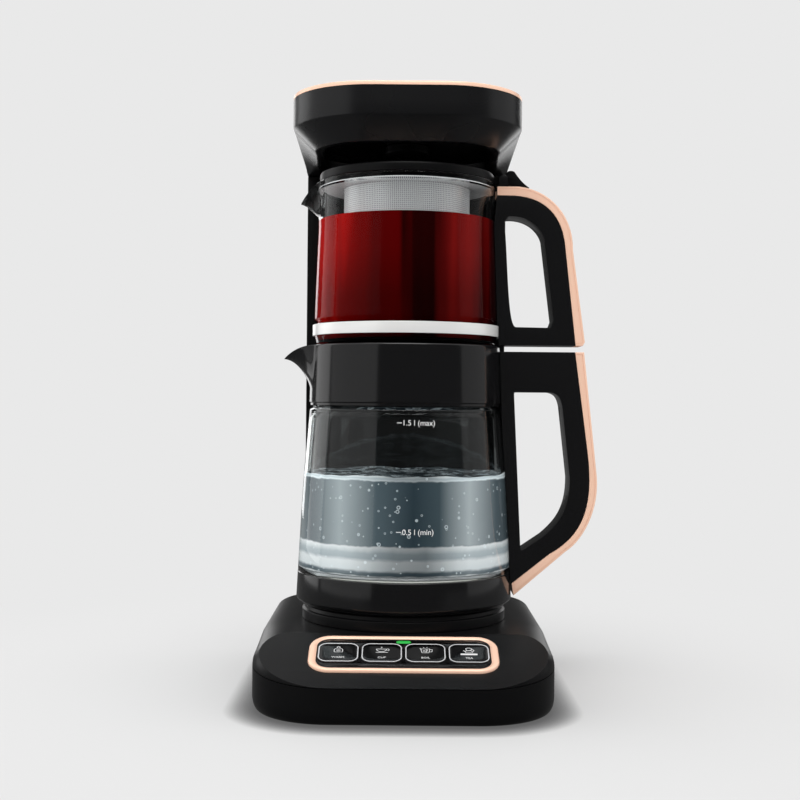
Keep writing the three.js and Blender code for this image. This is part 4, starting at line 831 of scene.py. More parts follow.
feet = {"side": 59, "front": -94, "rear": 82, "top": 2.3}
foot = turned(
    "rubber_foot",
    [(0, 0.5), (3.4, 0.5), (3.9, 0), (5.4, 0), (5.9, 0.5), (7, 0.5), (7.4, 0), (8.4, 0),
     (9, 0.8), (9, feet["top"]), (0, feet["top"])],
    [0, 0.2, 0.2, 0.2, 0.2, 0.2, 0.2, 0.4, 0.4, 0.2, 0], 2, 48)
for end in ("front", "rear"):
    for side, sign in (("left", -1), ("right", 1)):
        copy = copied(foot, f"rubber_foot_{end}_{side}", sign * feet["side"], feet[end])
        finishPiece(copy, "machine", nitrileRubber, "foot_rubber", f"foot_{end}_{side}")

screws = {"bottom": 1, "spots": [(-74, -34), (74, -34), (-74, 84), (74, 84)],
          "cross": [(2, 0.4), (0.4, 2)], "crossDepth": 1.2}
screw = turned(
    "cross_head_screw",
    [(0, 0), (2.6, 0), (3.4, 0.7), (3.4, 2.2), (1.6, 2.2), (1.6, 19), (0.4, 20), (0, 20)],
    [0, 0.6, 0.5, 0.2, 0.2, 0.3, 0.1, 0], 3, 32)
for x, y in screws["cross"]:
    carve(screw, blockPiece("tool", (-x, -y, -1), (x, y, screws["crossDepth"])))
for i, (x, y) in enumerate(screws["spots"]):
    copy = copied(screw, f"cross_head_screw_{i + 1}", x, y, screws["bottom"])
    finishPiece(copy, "machine", pressedSteel, "steel", f"base_screw_{i + 1}")
for pattern in (foot, screw):
    bpy.data.objects.remove(pattern, do_unlink=True)

glandSpot = (58, 118, 21)
glandPlace = jugFrame @ Matrix.Translation(glandSpot) @ Matrix.Rotation(-math.pi / 2, 4, "X")
gland = turned(
    "cord_gland_rubber",
    [(3.6, -9), (7, -9), (7, 0.3), (9.4, 0.3), (9.4, 1.4), (8.2, 2.5), (6.2, 2.5),
     (5.8, 2.0), (5.2, 2.0), (4.8, 2.5), (3.6, 2.5)],
    0.3, 3, 48, glandPlace)
finishPiece(gland, "machine", nitrileRubber, "foot_rubber", "cord_gland")
print("plinth and small parts made")


# Tower

tower = {"halfWidth": 71.8, "front": 44, "rear": 116, "corner": 24, "recess": 77, "wall": 2.4,
         "low": 46.3, "high": 356.7, "joint": 0.3, "stations": (60, 76)}


def recessArc(radius, reach, steps=48):
    end = math.degrees(math.asin(reach / radius))
    return arcPoints(0, 0, radius, 180 - end, end, steps)


def makeTowerFront():
    half, front, back = tower["halfWidth"], tower["front"], tower["front"] + tower["wall"]
    outline = ([(-half, front)] + recessArc(tower["recess"], front) + [(half, front), (half, back)]
               + recessArc(tower["recess"] + tower["wall"], back)[::-1] + [(-half, back)])
    wall = prism("tower_front_wall", outline, tower["low"], tower["high"])
    softenEdges(wall, 0.7, 3)
    return wall


def makeTowerBack():
    start = tower["front"] + tower["wall"] + tower["joint"]
    skins = []
    for inset in (0, tower["wall"]):
        half, corner = tower["halfWidth"] - inset, tower["corner"] - inset
        centre = tower["rear"] - tower["corner"]
        side = [(half, y) for y in (start, *tower["stations"])]
        skins.append(side + arcPoints(half - corner, centre, corner, 0, 90, 16)
                     + arcPoints(corner - half, centre, corner, 90, 180, 16)
                     + [(-x, y) for x, y in side[::-1]])
    shell = prism("tower_back_shell", skins[0] + skins[1][::-1], tower["low"], tower["high"])
    softenEdges(shell, 0.5, 2)
    return shell


finishPiece(makeTowerFront(), "machine", towerAbs, "satin_black", "tower_front_shell")
finishPiece(makeTowerBack(), "machine", towerAbs, "satin_black", "tower_rear_cover")
print("tower made")


# Head

head = {"top": 398, "halfWidth": 77, "front": 75, "corner": 54, "shoulder": 9, "band": 376.5,
        "rim": 362, "rearRim": 357, "chamfer": 15, "ceiling": 370, "cheek": 0.62, "ring": 2.6,
        "gap": 0.3, "cornerDraw": 18, "stations": (-9, -2, 6, 14, 22, 30, 38, 44, 60),
        "bowl": (57, 55, 83, 34, 5), "bowlRound": 76.7, "bowlSoft": 1.6, "edgeSoft": 0.9, "edgeEnd": 40}


def backShare(y):
    return min(max((y + head["shoulder"]) / (tower["front"] + head["shoulder"]), 0), 1)


def headPlan(inset):
    plan = roundedPlan(head["halfWidth"] - inset, head["front"] - inset, tower["rear"] - inset,
                       head["corner"] - inset, tower["corner"] - min(inset, head["cornerDraw"]),
                       head["stations"], 20)
    narrow = tower["halfWidth"] / head["halfWidth"]
    return [(x * (1 + (narrow - 1) * backShare(y)), y) for x, y in plan]


def headRings(steps):
    return [flat(headPlan(inset), head["top"] + z) for inset, z in steps]


def blendRings(first, second, share):
    return [tuple(a + (b - a) * share for a, b in zip(p, q)) for p, q in zip(first, second)]


def makeHead():
    band, drawn = headPlan(0), headPlan(head["chamfer"])
    rim, low = [], []
    for (x, y), (dx, dy) in zip(band, drawn):
        back = backShare(y)
        share = 1 - back * (1 - head["cheek"]) if y < tower["front"] - 0.01 else 0
        rim.append((x + (dx - x) * share, y + (dy - y) * share,
                    head["rim"] + (head["rearRim"] - head["rim"]) * back))
        low.append((x, y, head["band"] + (head["rearRim"] + head["gap"] - head["band"]) * back))
    top = flat(band, head["top"] - head["ring"] - head["gap"])
    shell = stacked("head_moulding", [rim, blendRings(rim, low, 0.5), low, blendRings(low, top, 0.5), top])
    keySpots = {(round(x, 2), round(y, 2), round(z, 2)) for x, y, z in rim + low}

    def keyEdge(edge):
        spots = [jugSpace @ v.co for v in edge.verts]
        marks = [(round(p.x, 2), round(p.y, 2), round(p.z, 2)) for p in spots]
        sharp = edge.calc_face_angle(0) > math.radians(20)
        return sharp and all(p.y < head["edgeEnd"] for p in spots) and all(m in keySpots for m in marks)

    startEdit(shell, "EDGE")
    pick(shell, "EDGE", keyEdge)
    bpy.ops.mesh.bevel(offset=head["edgeSoft"] / 1000, segments=3, affect="EDGES")
    endAndTidy(shell)
    circle = arcPoints(0, 0, head["bowlRound"], 0, 357.5, 143)
    bowl = prism("tool", roundedPlan(*head["bowl"]), head["rearRim"] - 6, head["ceiling"])
    limit = prism("tool2", circle, head["rearRim"] - 8, head["ceiling"] + 3)
    carve(bowl, limit, operation="INTERSECT")
    softenEdges(bowl, head["bowlSoft"], 3)
    carve(shell, bowl)
    return shell


finishPiece(makeHead(), "machine", headAbs, "satin_black", "head_shell", angle=24)

ringSteps = [(0, -2.6), (0, -0.7), (0.2, -0.2), (0.7, 0), (1.7, 0), (2.1, -0.25), (2.2, -0.6), (2.2, -2.6)]
trim = hollowRing(stacked("head_trim_anodised", headRings(ringSteps)))
finishPiece(trim, "machine", roseAluminium, "rose_gold", "head_trim_ring", angle=50)

coverSteps = [(2.7, -5), (2.7, -1.1), (3.1, -0.8), (8, -0.55), (18.5, -0.12), (30, 0)]
headTop = stacked("head_top_moulding", headRings(coverSteps))
finishPiece(headTop, "machine", satinAbs, "satin_black", "head_cover", angle=30)

nozzle = turned(
    "shower_nozzle_moulding",
    [(2, 363.4), (4, 363), (13, 363), (15, 365), (15, 369.7), (5.4, 369.7), (5.4, 372.7),
     (3, 372.7), (3, 376), (2, 376)],
    [0.2, 0.4, 1.2, 1, 0.5, 0.3, 0.2, 0.2, 0.2, 0.2], 4, 64)
holes = {"count": 10, "circle": 8.5, "radius": 1.1, "low": 360, "high": 365.5}
outline = arcPoints(0, 0, holes["radius"], 0, 330, 11)
for i in range(holes["count"]):
    turn = Matrix.Rotation(2 * math.pi * i / holes["count"], 4, "Z")
    place = jugFrame @ turn @ Matrix.Translation((holes["circle"], 0, 0))
    carve(nozzle, prism("tool", outline, holes["low"], holes["high"], place))
finishPiece(nozzle, "machine", satinAbs, "satin_black", "shower_nozzle")
print("head made")


# Kettle

kettle = {"foot": 73, "middle": 69.5, "neck": 66, "footHeight": 78.3, "middleHeight": 142,
          "neckHeight": 188, "wall": 2.6, "neckIn": 2.8, "neckTop": 200, "water": 145.3, "plate": 81.5,
          "lip": 0.8, "shoulder": 186.5}


def kettleRadius(height):
    # the curve through foot, middle and neck
    low, mid, high = kettle["footHeight"], kettle["middleHeight"], kettle["neckHeight"]
    a = kettle["foot"] * (height - mid) * (height - high) / ((low - mid) * (low - high))
    b = kettle["middle"] * (height - low) * (height - high) / ((mid - low) * (mid - high))
    c = kettle["neck"] * (height - low) * (height - mid) / ((high - low) * (high - mid))
    return a + b + c


def wallHeights(low, high, count):
    return [low + (high - low) * i / count for i in range(count + 1)]


def kettleWall(inset, low, high, count):
    return [(kettleRadius(z) - inset, z) for z in wallHeights(low, high, count)]


def makeKettleGlass():
    wall, neck, top, lip = kettle["wall"], kettle["neck"] - kettle["neckIn"], kettle["neckTop"], kettle["lip"]
    low, high = kettle["footHeight"], kettle["shoulder"]
    shoulder = rounded([(kettle["neck"] + 0.15, high), (kettle["neck"], 188.4), (neck, 190.6),
                        (neck, 196)], 1.6, 5)
    rim = [(neck, top - lip), (neck - lip, top), (neck - wall + lip, top), (neck - wall, top - lip)]
    foot = [(kettle["foot"] - wall + 0.5, low), (kettle["foot"] - 0.5, low)]
    profile = (kettleWall(0, low + 0.6, high, 22) + shoulder[2:] + rim + [(neck - wall, 191.6)]
               + kettleWall(wall, low + 0.6, high - 1, 22)[::-1] + foot)
    return turnedPiece("kettle_glass_blown", profile, 144)


def letLightIn(obj):
    # the light falls straight through the glass on what is behind it
    obj.visible_shadow = False
    obj.visible_diffuse = False


def keepFromGlass(obj):
    # not mirrored a second time in the glass beside it
    obj.visible_glossy = False
    obj.visible_shadow = False
    return obj


letLightIn(finishPiece(makeKettleGlass(), "kettle", kettleGlassLook, "clear_glass", "kettle_glass", angle=50))


def makeWater():
    # the liquid reaches a little into the glass, so that no air shows between; its top ripples
    top, floor = kettle["water"], kettle["plate"] + 0.3
    wall = kettleWall(kettle["wall"] - 0.3, floor, top - 1, 16)
    edge = wall[-1][0]
    rings = [(r, top - 1.1) for r in range(64, 3, -4)]
    rim = [(edge - 0.15, top + 0.1), (edge - 1.2, top - 0.9)]
    profile = [(0, floor)] + wall + rim + rings + [(0, top - 1.1)]
    body = turnedPiece("kettle_water", profile, 120)
    for v in body.data.vertices:
        if v.co.z > (top - 1.6) / 1000:
            x, y = v.co.x * 1000, v.co.y * 1000
            v.co.z += (0.5 * math.sin(x / 7.5 + 0.8) + 0.35 * math.sin(y / 6 + x / 17)
                       + 0.25 * math.sin(x / 3.3 - y / 5)) / 1000
    return body


keepFromGlass(finishPiece(makeWater(), "kettle", waterLook, "water", angle=60))

kettleShell = turned(
    "kettle_shell_moulding",
    [(0, 57), (68, 57), (71, 57), (74, 60), (73.1, 78), (70.4, 78), (70.4, 77.7), (62, 77.7), (62, 75.1),
     (70.7, 72.5), (71.6, 60), (68.6, 59.4), (0, 59.4)],
    [0, 0, 1, 2, 0.8, 0.2, 0.1, 0.3, 0.3, 0.3, 0.5, 0.5, 0], 5, 144)
# the channel that lets the kettle slide off its connector
channel = {"low": (-15, -15, 51), "high": (15, 82, 66)}
carve(kettleShell, blockPiece("tool", channel["low"], channel["high"]))
finishPiece(kettleShell, "kettle", halfGlossAbs, "satin_black", "kettle_shell", angle=30)

seal = turned("kettle_seal_ring", [(62.5, 78), (69.6, 78), (69.6, 79.6), (62.5, 79.6)], 0.3, 3, 96)
finishPiece(seal, "kettle", siliconeRubber, "silicone", "kettle_seal")

heater = turned(
    "heater_plate_pressed",
    [(0, 79.9), (69.6, 79.9), (69.6, 81.3), (67, 81.5), (64, 80.9), (60, 80.9), (58, 81.5), (0, 81.5)],
    [0, 0.2, 0.4, 0.8, 0.8, 0.8, 0.8, 0], 4, 128)
finishPiece(heater, "kettle", pressedSteel, "steel", "heater_plate")
print("kettle glass, water and shell made")


def pullSpout(obj, shape):
    # pushes the wall out into a beak on the -X side, deepest at the rim
    for vertex in obj.data.vertices:
        p = jugSpace @ vertex.co
        radius = math.hypot(p.x, p.y)
        if p.x > 0 or radius < shape["inner"] or p.z < shape["low"] or abs(p.y) > shape["half"]:
            continue
        t = (p.z - shape["low"]) / (shape["high"] - shape["low"])
        pull = shape["plan"](abs(p.y) / shape["half"])
        thinned = max(shape["wall"] - radius, 0) * shape["thin"] * pull * t
        centreHeight = shape["low"] + (shape["tipHeight"] - shape["low"]) * (1 - (1 - t) ** shape["rise"])
        p.x -= shape["reach"] * t ** shape["along"] * pull + thinned
        p.z += (centreHeight - p.z) * pull ** shape["drop"]
        vertex.co = jugFrame @ p


kettleSpout = {"half": 21, "low": 203, "high": 232, "reach": 19.2, "tipHeight": 222.6,
               "wall": 65.5, "inner": 61, "plan": lambda u: 1 - u ** 1.4,
               "along": 1.18, "rise": 1.9, "drop": 2.2, "thin": 0.45}


def makeCollar():
    outer = [(66.2 - 1.2 * (z - 193.6) / 38, z) for z in wallHeights(194.5, 230.8, 22)]
    top = [(64.9, 231.4), (64.5, 231.85), (64.0, 232), (62.6, 232), (62.1, 231.7), (61.8, 231.1)]
    inner = [(61.6, z) for z in reversed(wallHeights(201, 230.4, 18))]
    profile = ([(65.4, 191.2), (65.4, 192.7), (66.1, 193.3), (66.2, 193.9)] + outer + top + inner
               + [(61.7, 200.3), (63.5, 200.3), (63.5, 191), (65.2, 191)])
    wall = turnedPiece("collar_wall", profile, 240)
    pullSpout(wall, kettleSpout)
    ledge = turned("collar_ledge", [(48, 228.8), (61.9, 228.8), (61.9, 232), (48, 232)], 0.8, 3, 144)
    return merge("kettle_collar_moulding", wall, ledge)


finishPiece(makeCollar(), "kettle", halfGlossAbs, "satin_black", "kettle_collar", angle=35)


# Handles: a black grip with a pink-gold strip laid over its outer edge

handleCut = {"gap": 0.3, "skinGap": 0.45, "toolWidth": 40, "gripSoft": 2.2, "stripSoft": 0.8}
groove = {"inset": 1.3, "width": 0.3, "depth": 0.4}
kettleHandle = {
    "inner": 66.5, "reach": 131.7, "bottom": 62.2, "top": 228.6, "width": 25, "holeSoft": 1.2,
    "gripGap": 0.35,
    "grip": [[(0.751, 1)], [(0.889, 0.594), (0.959, 0.385), (0.88, 0.255), (0.5, 0.172)], [(0.108, 0.05)]],
    "strip": [[(0.4, 1), (0.849, 1)], [(0.993, 0.491), (1.025, 0.344), (0.838, 0.223), (0.675, 0.183)],
              [(0.13, 0), (0.108, 0.05), (0.16, 0.2)]],
    "hole": [[(0.2, 0.18), (0.118, 0.834)], [(0.502, 0.834), (0.58, 0.827), (0.604, 0.816), (0.625, 0.776)],
             [(0.709, 0.484), (0.714, 0.351), (0.601, 0.298), (0.434, 0.242)]],
}


def offsetPlan(points, distance):
    # an outline moved outwards along its corners
    area = sum(p[0] * q[1] - q[0] * p[1] for p, q in zip(points, points[1:] + points[:1]))
    side = 1 if area > 0 else -1
    result = []
    for i, here in enumerate(points):
        a = (Vector(here) - Vector(points[i - 1])).normalized()
        b = (Vector(points[(i + 1) % len(points)]) - Vector(here)).normalized()
        normal = Vector((a.y + b.y, -a.x - b.x)).normalized() * side
        # a sharp corner moves out by twice the distance at most
        stretch = max(normal.x * a.y * side - normal.y * a.x * side, 0.5)
        result.append((here[0] + normal.x * distance / stretch, here[1] + normal.y * distance / stretch))
    return result


def bodyCutter(profile, clearance):
    return turnedPiece("tool", [(0, profile[0][1])] + [(r + clearance, z) for r, z in profile]
                       + [(0, profile[-1][1])], 128)


def makeGrip(name, handle, ends, cutter):
    body = slab(name, ends[:-2] + bent(handle, handle["grip"]) + ends[-2:], handle["width"])
    hole = slab("tool", rounded(bent(handle, handle["hole"]), handle["holeSoft"], 2), handleCut["toolWidth"])
    carve(body, hole, cutter)
    softenEdges(body, handleCut["gripSoft"], 5, 30)
    return body


def makeStrip(name, handle, ends, *cutters):
    outline = bent(handle, handle["strip"])
    width = handle["width"]
    strip = slab(name, outline, width)
    grip = ends[:-2] + bent(handle, handle["grip"]) + ends[-2:]
    carve(strip, slab("tool", offsetPlan(grip, handleCut["gap"]), handleCut["toolWidth"]), *cutters)
    softenEdges(strip, handleCut["stripSoft"], 3, 30)
    # the fine line that runs along the outer edge on both faces
    score = slab("tool", offsetPlan(outline, -groove["inset"]), width + 2)
    inside = slab("tool2", offsetPlan(outline, -groove["inset"] - groove["width"]), width + 6)
    middle = slab("tool3", offsetPlan(outline, 4), width - 2 * groove["depth"])
    carve(score, inside, middle)
    carve(strip, score)
    return strip


kettleSkin = ([(74.0, 40), (74, 60), (73.1, 78.2), (73.0, 79)] + kettleWall(0, 80, 188, 12)
              + [(66.2, 190), (66.2, 193.6), (65, 232), (65, 240)])
kettleBulk = [(74.0, 40), (74, 60), (73.1, 78), (66, 190), (66, 240)]
kettleEnds = [(68, 64), (68, 140)]
kettleGrip = makeGrip("kettle_handle_moulding", kettleHandle, [(64, 228.6)] + kettleEnds,
                      bodyCutter(kettleSkin, kettleHandle["gripGap"]))
kettleStrip = makeStrip("kettle_handle_strip", kettleHandle, [(kettleHandle["inner"], 228.6)] + kettleEnds,
                        bodyCutter(kettleBulk, handleCut["skinGap"]))
finishPiece(kettleGrip, "kettle", halfGlossAbs, "satin_black", "kettle_handle", angle=30)
finishPiece(kettleStrip, "kettle", roseAluminium, "rose_gold", "kettle_handle_trim", angle=30)
print("kettle collar and handle made")


marks = {"size": 5.0, "places": [("1.5 l (max)", 178.7), ("0.5 l (min)", 109.0)], "x": 8.7,
         "dash": (-5.4, -2.3), "dashLow": 1.4, "dashHigh": 1.85, "proud": 0.02}


def wrapOnGlass(obj, radiusAt):
    # bends flat print, drawn in X and Z, onto the front of the glass
    for vertex in obj.data.vertices:
        p = jugSpace @ vertex.co
        radius = radiusAt(p.z) + marks["proud"] - p.y
        angle = p.x / radiusAt(p.z)
        p.x, p.y = radius * math.sin(angle), -radius * math.cos(angle)
        vertex.co = jugFrame @ p
    return obj


def makeMarks():
    upright = jugFrame @ Matrix.Rotation(math.pi / 2, 4, "X")
    prints = []
    left, right = marks["dash"]
    for text, height in marks["places"]:
        prints.append(lettering("mark", text, marks["size"], marks["x"], height, upright, 0))
        prints.append(blockPiece("dash", (left, -0.02, height + marks["dashLow"]),
                                 (right, 0.06, height + marks["dashHigh"])))
    return wrapOnGlass(merge("kettle_marks", *prints), kettleRadius)


inkedMarks = keepFromGlass(finishPiece(makeMarks(), "kettle", screenInk, "print_white", angle=0))
# nor seen a second time through the glass
inkedMarks.visible_transmission = False


# Teapot

teapot = {"bottom": 232.3, "foot": 61.6, "belly": 63.1, "shoulder": 60.7, "rim": 61.2, "bandLow": 238.4,
          "bandHigh": 246, "turnHeight": 248, "shoulderHeight": 313, "rimTop": 343.8, "rimInner": 59.5,
          "wall": 2.6, "floor": 236.3, "tea": 318}


def teapotRadius(height):
    # straight above the band, then drawn in to the shoulder
    rise = max((height - teapot["turnHeight"]) / (teapot["shoulderHeight"] - teapot["turnHeight"]), 0)
    return teapot["belly"] + (teapot["shoulder"] - teapot["belly"]) * rise ** 1.15


def teapotWall(inset, low, high, count):
    return [(teapotRadius(z) - inset, z) for z in wallHeights(low, high, count)]


teapotSpout = {"half": 19, "low": 320, "high": teapot["rimTop"], "reach": 12.4, "tipHeight": 329.6,
               "wall": teapot["rim"], "inner": 56, "plan": lambda u: 0.5 + 0.5 * math.cos(math.pi * u),
               "along": 0.95, "rise": 1.64, "drop": 1.4, "thin": 0.6}


def makeTeapotGlass():
    t = teapot
    inside = t["belly"] - t["wall"]
    outer = rounded([(0, t["bottom"]), (t["foot"] - 2, t["bottom"]), (t["foot"], t["bottom"] + 1),
                     (t["belly"] - 0.3, t["bandLow"] - 0.6), (t["belly"], t["bandLow"]),
                     (t["belly"], t["bandHigh"] + 2)], [0, 1.2, 1.5, 1, 0.6, 3], 4)
    neck = [(t["shoulder"] + 0.3 * (z - t["shoulderHeight"]) / 26.4, z) for z in wallHeights(318, 339, 9)]
    bead = [(t["rim"], z) for z in (339.8, 340.8, 341.8, 342.6)]
    bead += [(60.9, 343.4), (60.4, t["rimTop"]), (60.0, 343.7), (59.6, 343.3)]
    seat = [(t["rimInner"], z) for z in (342.6, 341.6, 340.4, 339.6)] + [(58.9, 339.2), (58.1, 338.6)]
    innerNeck = [(t["shoulder"] - t["wall"], z) for z in reversed(wallHeights(314, 336, 9))]
    floor = rounded([(inside, t["turnHeight"] - 1), (inside, t["floor"] + 5), (t["foot"] - 5, t["floor"]),
                     (0, t["floor"])], [1, 3, 4, 0], 5)
    profile = (outer + teapotWall(0, 250, t["shoulderHeight"], 14) + neck + bead + seat + innerNeck
               + teapotWall(t["wall"], 250, t["shoulderHeight"], 14)[::-1] + floor)
    glass = turnedPiece("teapot_glass_blown", profile, 180)
    pullSpout(glass, teapotSpout)
    return glass


def makeTea():
    # like the water, it reaches a little into the glass; the basket's room is left free
    top, floor = teapot["tea"], teapot["floor"] + 0.15
    wall = teapotWall(teapot["wall"] - 0.3, 243, top - 0.8, 16)
    edge = wall[-1][0]
    profile = ([(0, floor), (56, floor), (59.4, 238.3), (60.7, 240.6)] + wall
               + [(edge - 0.1, top), (edge - 1.4, top - 0.9), (44.2, top - 1), (44.2, 261.4), (0, 261.4)])
    return turnedPiece("teapot_tea", profile, 128)


letLightIn(finishPiece(makeTeapotGlass(), "teapot", teapotGlassLook, "clear_glass", "teapot_glass", angle=50))
keepFromGlass(finishPiece(makeTea(), "teapot", teaLook, "tea", angle=50))

bandPoints = [(63.4, teapot["bandLow"]), (64.3, teapot["bandLow"]), (64.3, teapot["bandHigh"]),
              (63.4, teapot["bandHigh"])]
band = turned("teapot_band_rolled", bandPoints, 0.35, 3, 144)
finishPiece(band, "teapot", brushedSteel, "steel", "teapot_band")


basket = {"radius": 43.5, "pitch": 1.3}


def makeBasket():
    cup = turned(
        "infuser_basket_pierced",
        [(0, 262), (40.5, 262), (basket["radius"], 265), (basket["radius"], 339.7), (59.2, 339.7),
         (59.2, 340.5), (42.7, 340.5), (42.7, 265.3), (40.2, 262.8), (0, 262.8)],
        [0, 1.4, 1.4, 1.2, 0.3, 0.3, 1.8, 1.2, 1.2, 0], 4, 128)
    # the holes' pattern: a whole number of them round the wall, and rings of them on the bottom
    sheet = cup.data.uv_layers.new(name="sheet")
    around = round(2 * math.pi * basket["radius"] / basket["pitch"])
    for polygon in cup.data.polygons:
        centre = jugSpace @ polygon.center
        middle = math.atan2(centre.y, centre.x)
        for loop in polygon.loop_indices:
            p = jugSpace @ cup.data.vertices[cup.data.loops[loop].vertex_index].co
            turn = math.atan2(p.y, p.x)
            if abs(turn - middle) > math.pi:
                turn += math.copysign(2 * math.pi, middle - turn)
            radius = math.hypot(p.x, p.y)
            run = p.z if radius > 42 else radius
            sheet.data[loop].uv = (turn / (2 * math.pi) * around, run / basket["pitch"])
    return cup


finishPiece(makeBasket(), "teapot", piercedSteel, "steel", "infuser_basket", angle=35)
print("teapot glass, tea and basket made")

teapotHandle = {
    "inner": 61.65, "reach": 121.8, "bottom": 233, "top": 341.4, "width": 25, "holeSoft": 1.0,
    "grip": [[(0, 0.942)], [(0.194, 0.941), (0.536, 0.931), (0.731, 0.824), (0.771, 0.633)], [(0.899, 0)]],
    "strip": [[(0, 0.8), (0, 1)], [(0.246, 1), (0.612, 0.98), (0.871, 0.811), (0.864, 0.602)],
              [(1.008, 0.023), (0.985, 0)], [(0.5, 0), (0.6, 0.6)]],
    "hole": [[(0.222, 0.115), (0.12, 0.11), (0.125, 0.62), (0.08, 0.775)],
             [(0.13, 0.812), (0.361, 0.821), (0.505, 0.743), (0.536, 0.672)],
             [(0.65, 0.158), (0.617, 0.112)]],
}
teapotEnds = [(60, 233), (58, 300)]
hinge = {"x": 66, "z": 346.8, "knuckle": 3.3, "lever": 11, "lug": 3.6, "bore": 1.8, "pin": 1.5,
         "pinHalf": 6.1, "blind": 12.8, "gap": 0.3, "footShare": 0.942, "footSunk": 3.3}


def teapotSkin(clearance):
    wall = [(teapot["belly"], 246.4)] + teapotWall(0, 250, teapot["shoulderHeight"], 8)
    return bodyCutter([(64.5, 228), (64.5, 246.3)] + wall + [(60.9, 330), (61.4, 352)], clearance)


def pinBore(width):
    return slab("tool", arcPoints(hinge["x"], hinge["z"], hinge["bore"], 0, 340, 17), width)


def makeLug():
    x, knuckle = hinge["x"], hinge["knuckle"]
    low, high = teapotHandle["bottom"], teapotHandle["top"]
    foot = low + hinge["footShare"] * (high - low) - hinge["footSunk"]
    plan = [(x + knuckle, foot)] + arcPoints(x, hinge["z"], knuckle, 0, 180, 16) + [(x - knuckle, foot)]
    shift = hinge["lever"] / 2 + hinge["gap"] + hinge["lug"] / 2
    lug = slab("lug", plan, hinge["lug"], centre=-shift)
    # the pin sits in a blind hole, open towards the lever
    carve(lug, pinBore(hinge["blind"]), teapotSkin(handleCut["gap"]))
    softenEdges(lug, 0.4, 2, 30)
    return lug


def makeTeapotGrip():
    body = makeGrip("teapot_handle_moulding", teapotHandle, teapotEnds, teapotSkin(handleCut["gap"]))
    lug = makeLug()
    other = copied(lug, "lug_rear")
    startEdit(other, action="SELECT")
    bpy.ops.transform.mirror(constraint_axis=(False, True, False), center_override=axisPlace)
    bpy.ops.mesh.normals_make_consistent(inside=False)
    endEdit()
    return merge("teapot_handle_moulding", body, lug, other)


finishPiece(makeTeapotGrip(), "teapot", halfGlossAbs, "satin_black", "teapot_handle", angle=30)
# the strip's top is slotted for the lid's lever
slot = {"low": (0, -9.7, 313), "high": (85.6, 9.7, 354)}
teapotStrip = makeStrip("teapot_handle_strip", teapotHandle, teapotEnds,
                        blockPiece("tool", slot["low"], slot["high"]), teapotSkin(handleCut["skinGap"]))
finishPiece(teapotStrip, "teapot", roseAluminium, "rose_gold", "teapot_handle_trim", angle=30)

pinPlace = jugFrame @ Matrix.Translation((hinge["x"], 0, hinge["z"])) @ Matrix.Rotation(math.pi / 2, 4, "X")
pinPoints = [(0, -hinge["pinHalf"]), (hinge["pin"], -hinge["pinHalf"]), (hinge["pin"], hinge["pinHalf"]),
             (0, hinge["pinHalf"])]
pin = turned("hinge_pin_ground", pinPoints, [0, 0.4, 0.4, 0], 3, 32, pinPlace)
finishPiece(pin, "teapot", pressedSteel, "steel", "hinge_pin")


# Lid

def makeLid():
    plate = turned(
        "lid_plate",
        [(7.9, 347), (39.2, 347), (39.2, 337.1), (41.4, 337.1), (41.4, 347), (57.4, 347), (57.4, 344.1),
         (60, 344.1), (60, 350), (46, 350), (45, 349.5), (43.6, 349.5), (42.6, 350), (11.3, 350),
         (11.3, 348.3), (7.9, 348.3)],
        [0.3, 0.4, 0.4, 0.6, 0.4, 0.6, 0.4, 0.4, 1.6, 0.3, 0.3, 0.3, 0.3, 0.3, 0.3, 0.2], 4, 144)
    lever = [(58.7, 344.1), (62, 343.7), (65.6, 343.4), (69.3, 343.5), (82.6, 341.7), (84.2, 341.7)]
    lever += bezier((83.9, 342.0), (80, 344.6), (77, 348.0), (74.6, 351.6), 8)
    lever += bezier((73.9, 352.6), (72.8, 353.5), (70.4, 353.6), (69.4, 352.9), 5)
    lever += bezier((68.9, 352.5), (67.2, 350.6), (64.6, 349.9), (58.7, 348.9), 8)
    thumb = slab("lid_lever", lever, hinge["lever"])
    carve(thumb, pinBore(60))
    softenEdges(thumb, 0.9, 3, 30)
    return merge("teapot_lid_moulding", plate, thumb)


finishPiece(makeLid(), "lid", satinAbs, "satin_black", "teapot_lid", angle=30)

inlet = turned(
    "lid_inlet_turned",
    [(5.6, 340), (7.6, 340), (7.6, 348.6), (11, 348.6), (11, 349.7), (7.4, 349.7), (6.2, 349.2), (5.6, 348)],
    [0.2, 0.4, 0.3, 0.3, 0.3, 0.4, 0.3, 0.4], 3, 64)
finishPiece(inlet, "lid", pressedSteel, "steel", "lid_inlet")
print("teapot handle and lid made")


# Inner CAD nodes keep their shape and get their finish

inner = {
    "control_board": circuitBoard, "power_board": circuitBoard, "water_pump": mouldedNylon,
    "pump_hose": siliconeRubber, "head_hose": siliconeRubber, "riser_tube": pressedSteel,
    "heating_element": pressedSteel, "kettle_thermostat": satinAbs, "kettle_socket": satinAbs,
}
for i in range(1, 5):
    inner[f"tact_switch_{i}"] = satinAbs
for name, finish in inner.items():
    mesh = nodes[name].data
    mesh.materials.clear()
    mesh.materials.append(finish)
print("inner parts dressed")


# Floor, lamps, world and camera

studio = {"background": "E9E9E9", "camera": (-3.6, -900, 195), "lens": 58.5, "roll": -0.5, "floorSize": 12,
          "shadowStart": 0.12, "shadowReach": 0.5, "shadowShare": 0.85,
          "paper": "CACACA", "contact": 0.02, "contactPower": 4.5, "contactShadowTone": "1C1C1E",
          "mirrorLow": 0.05, "mirrorHigh": 0.6, "mirrorPaper": 0.12, "mirrorRise": (0.25, 0.75),
          "fill": 1.1, "cardEdge": 0.05, "floorCard": -0.25, "worldCard": -0.3, "aim": 0.2}


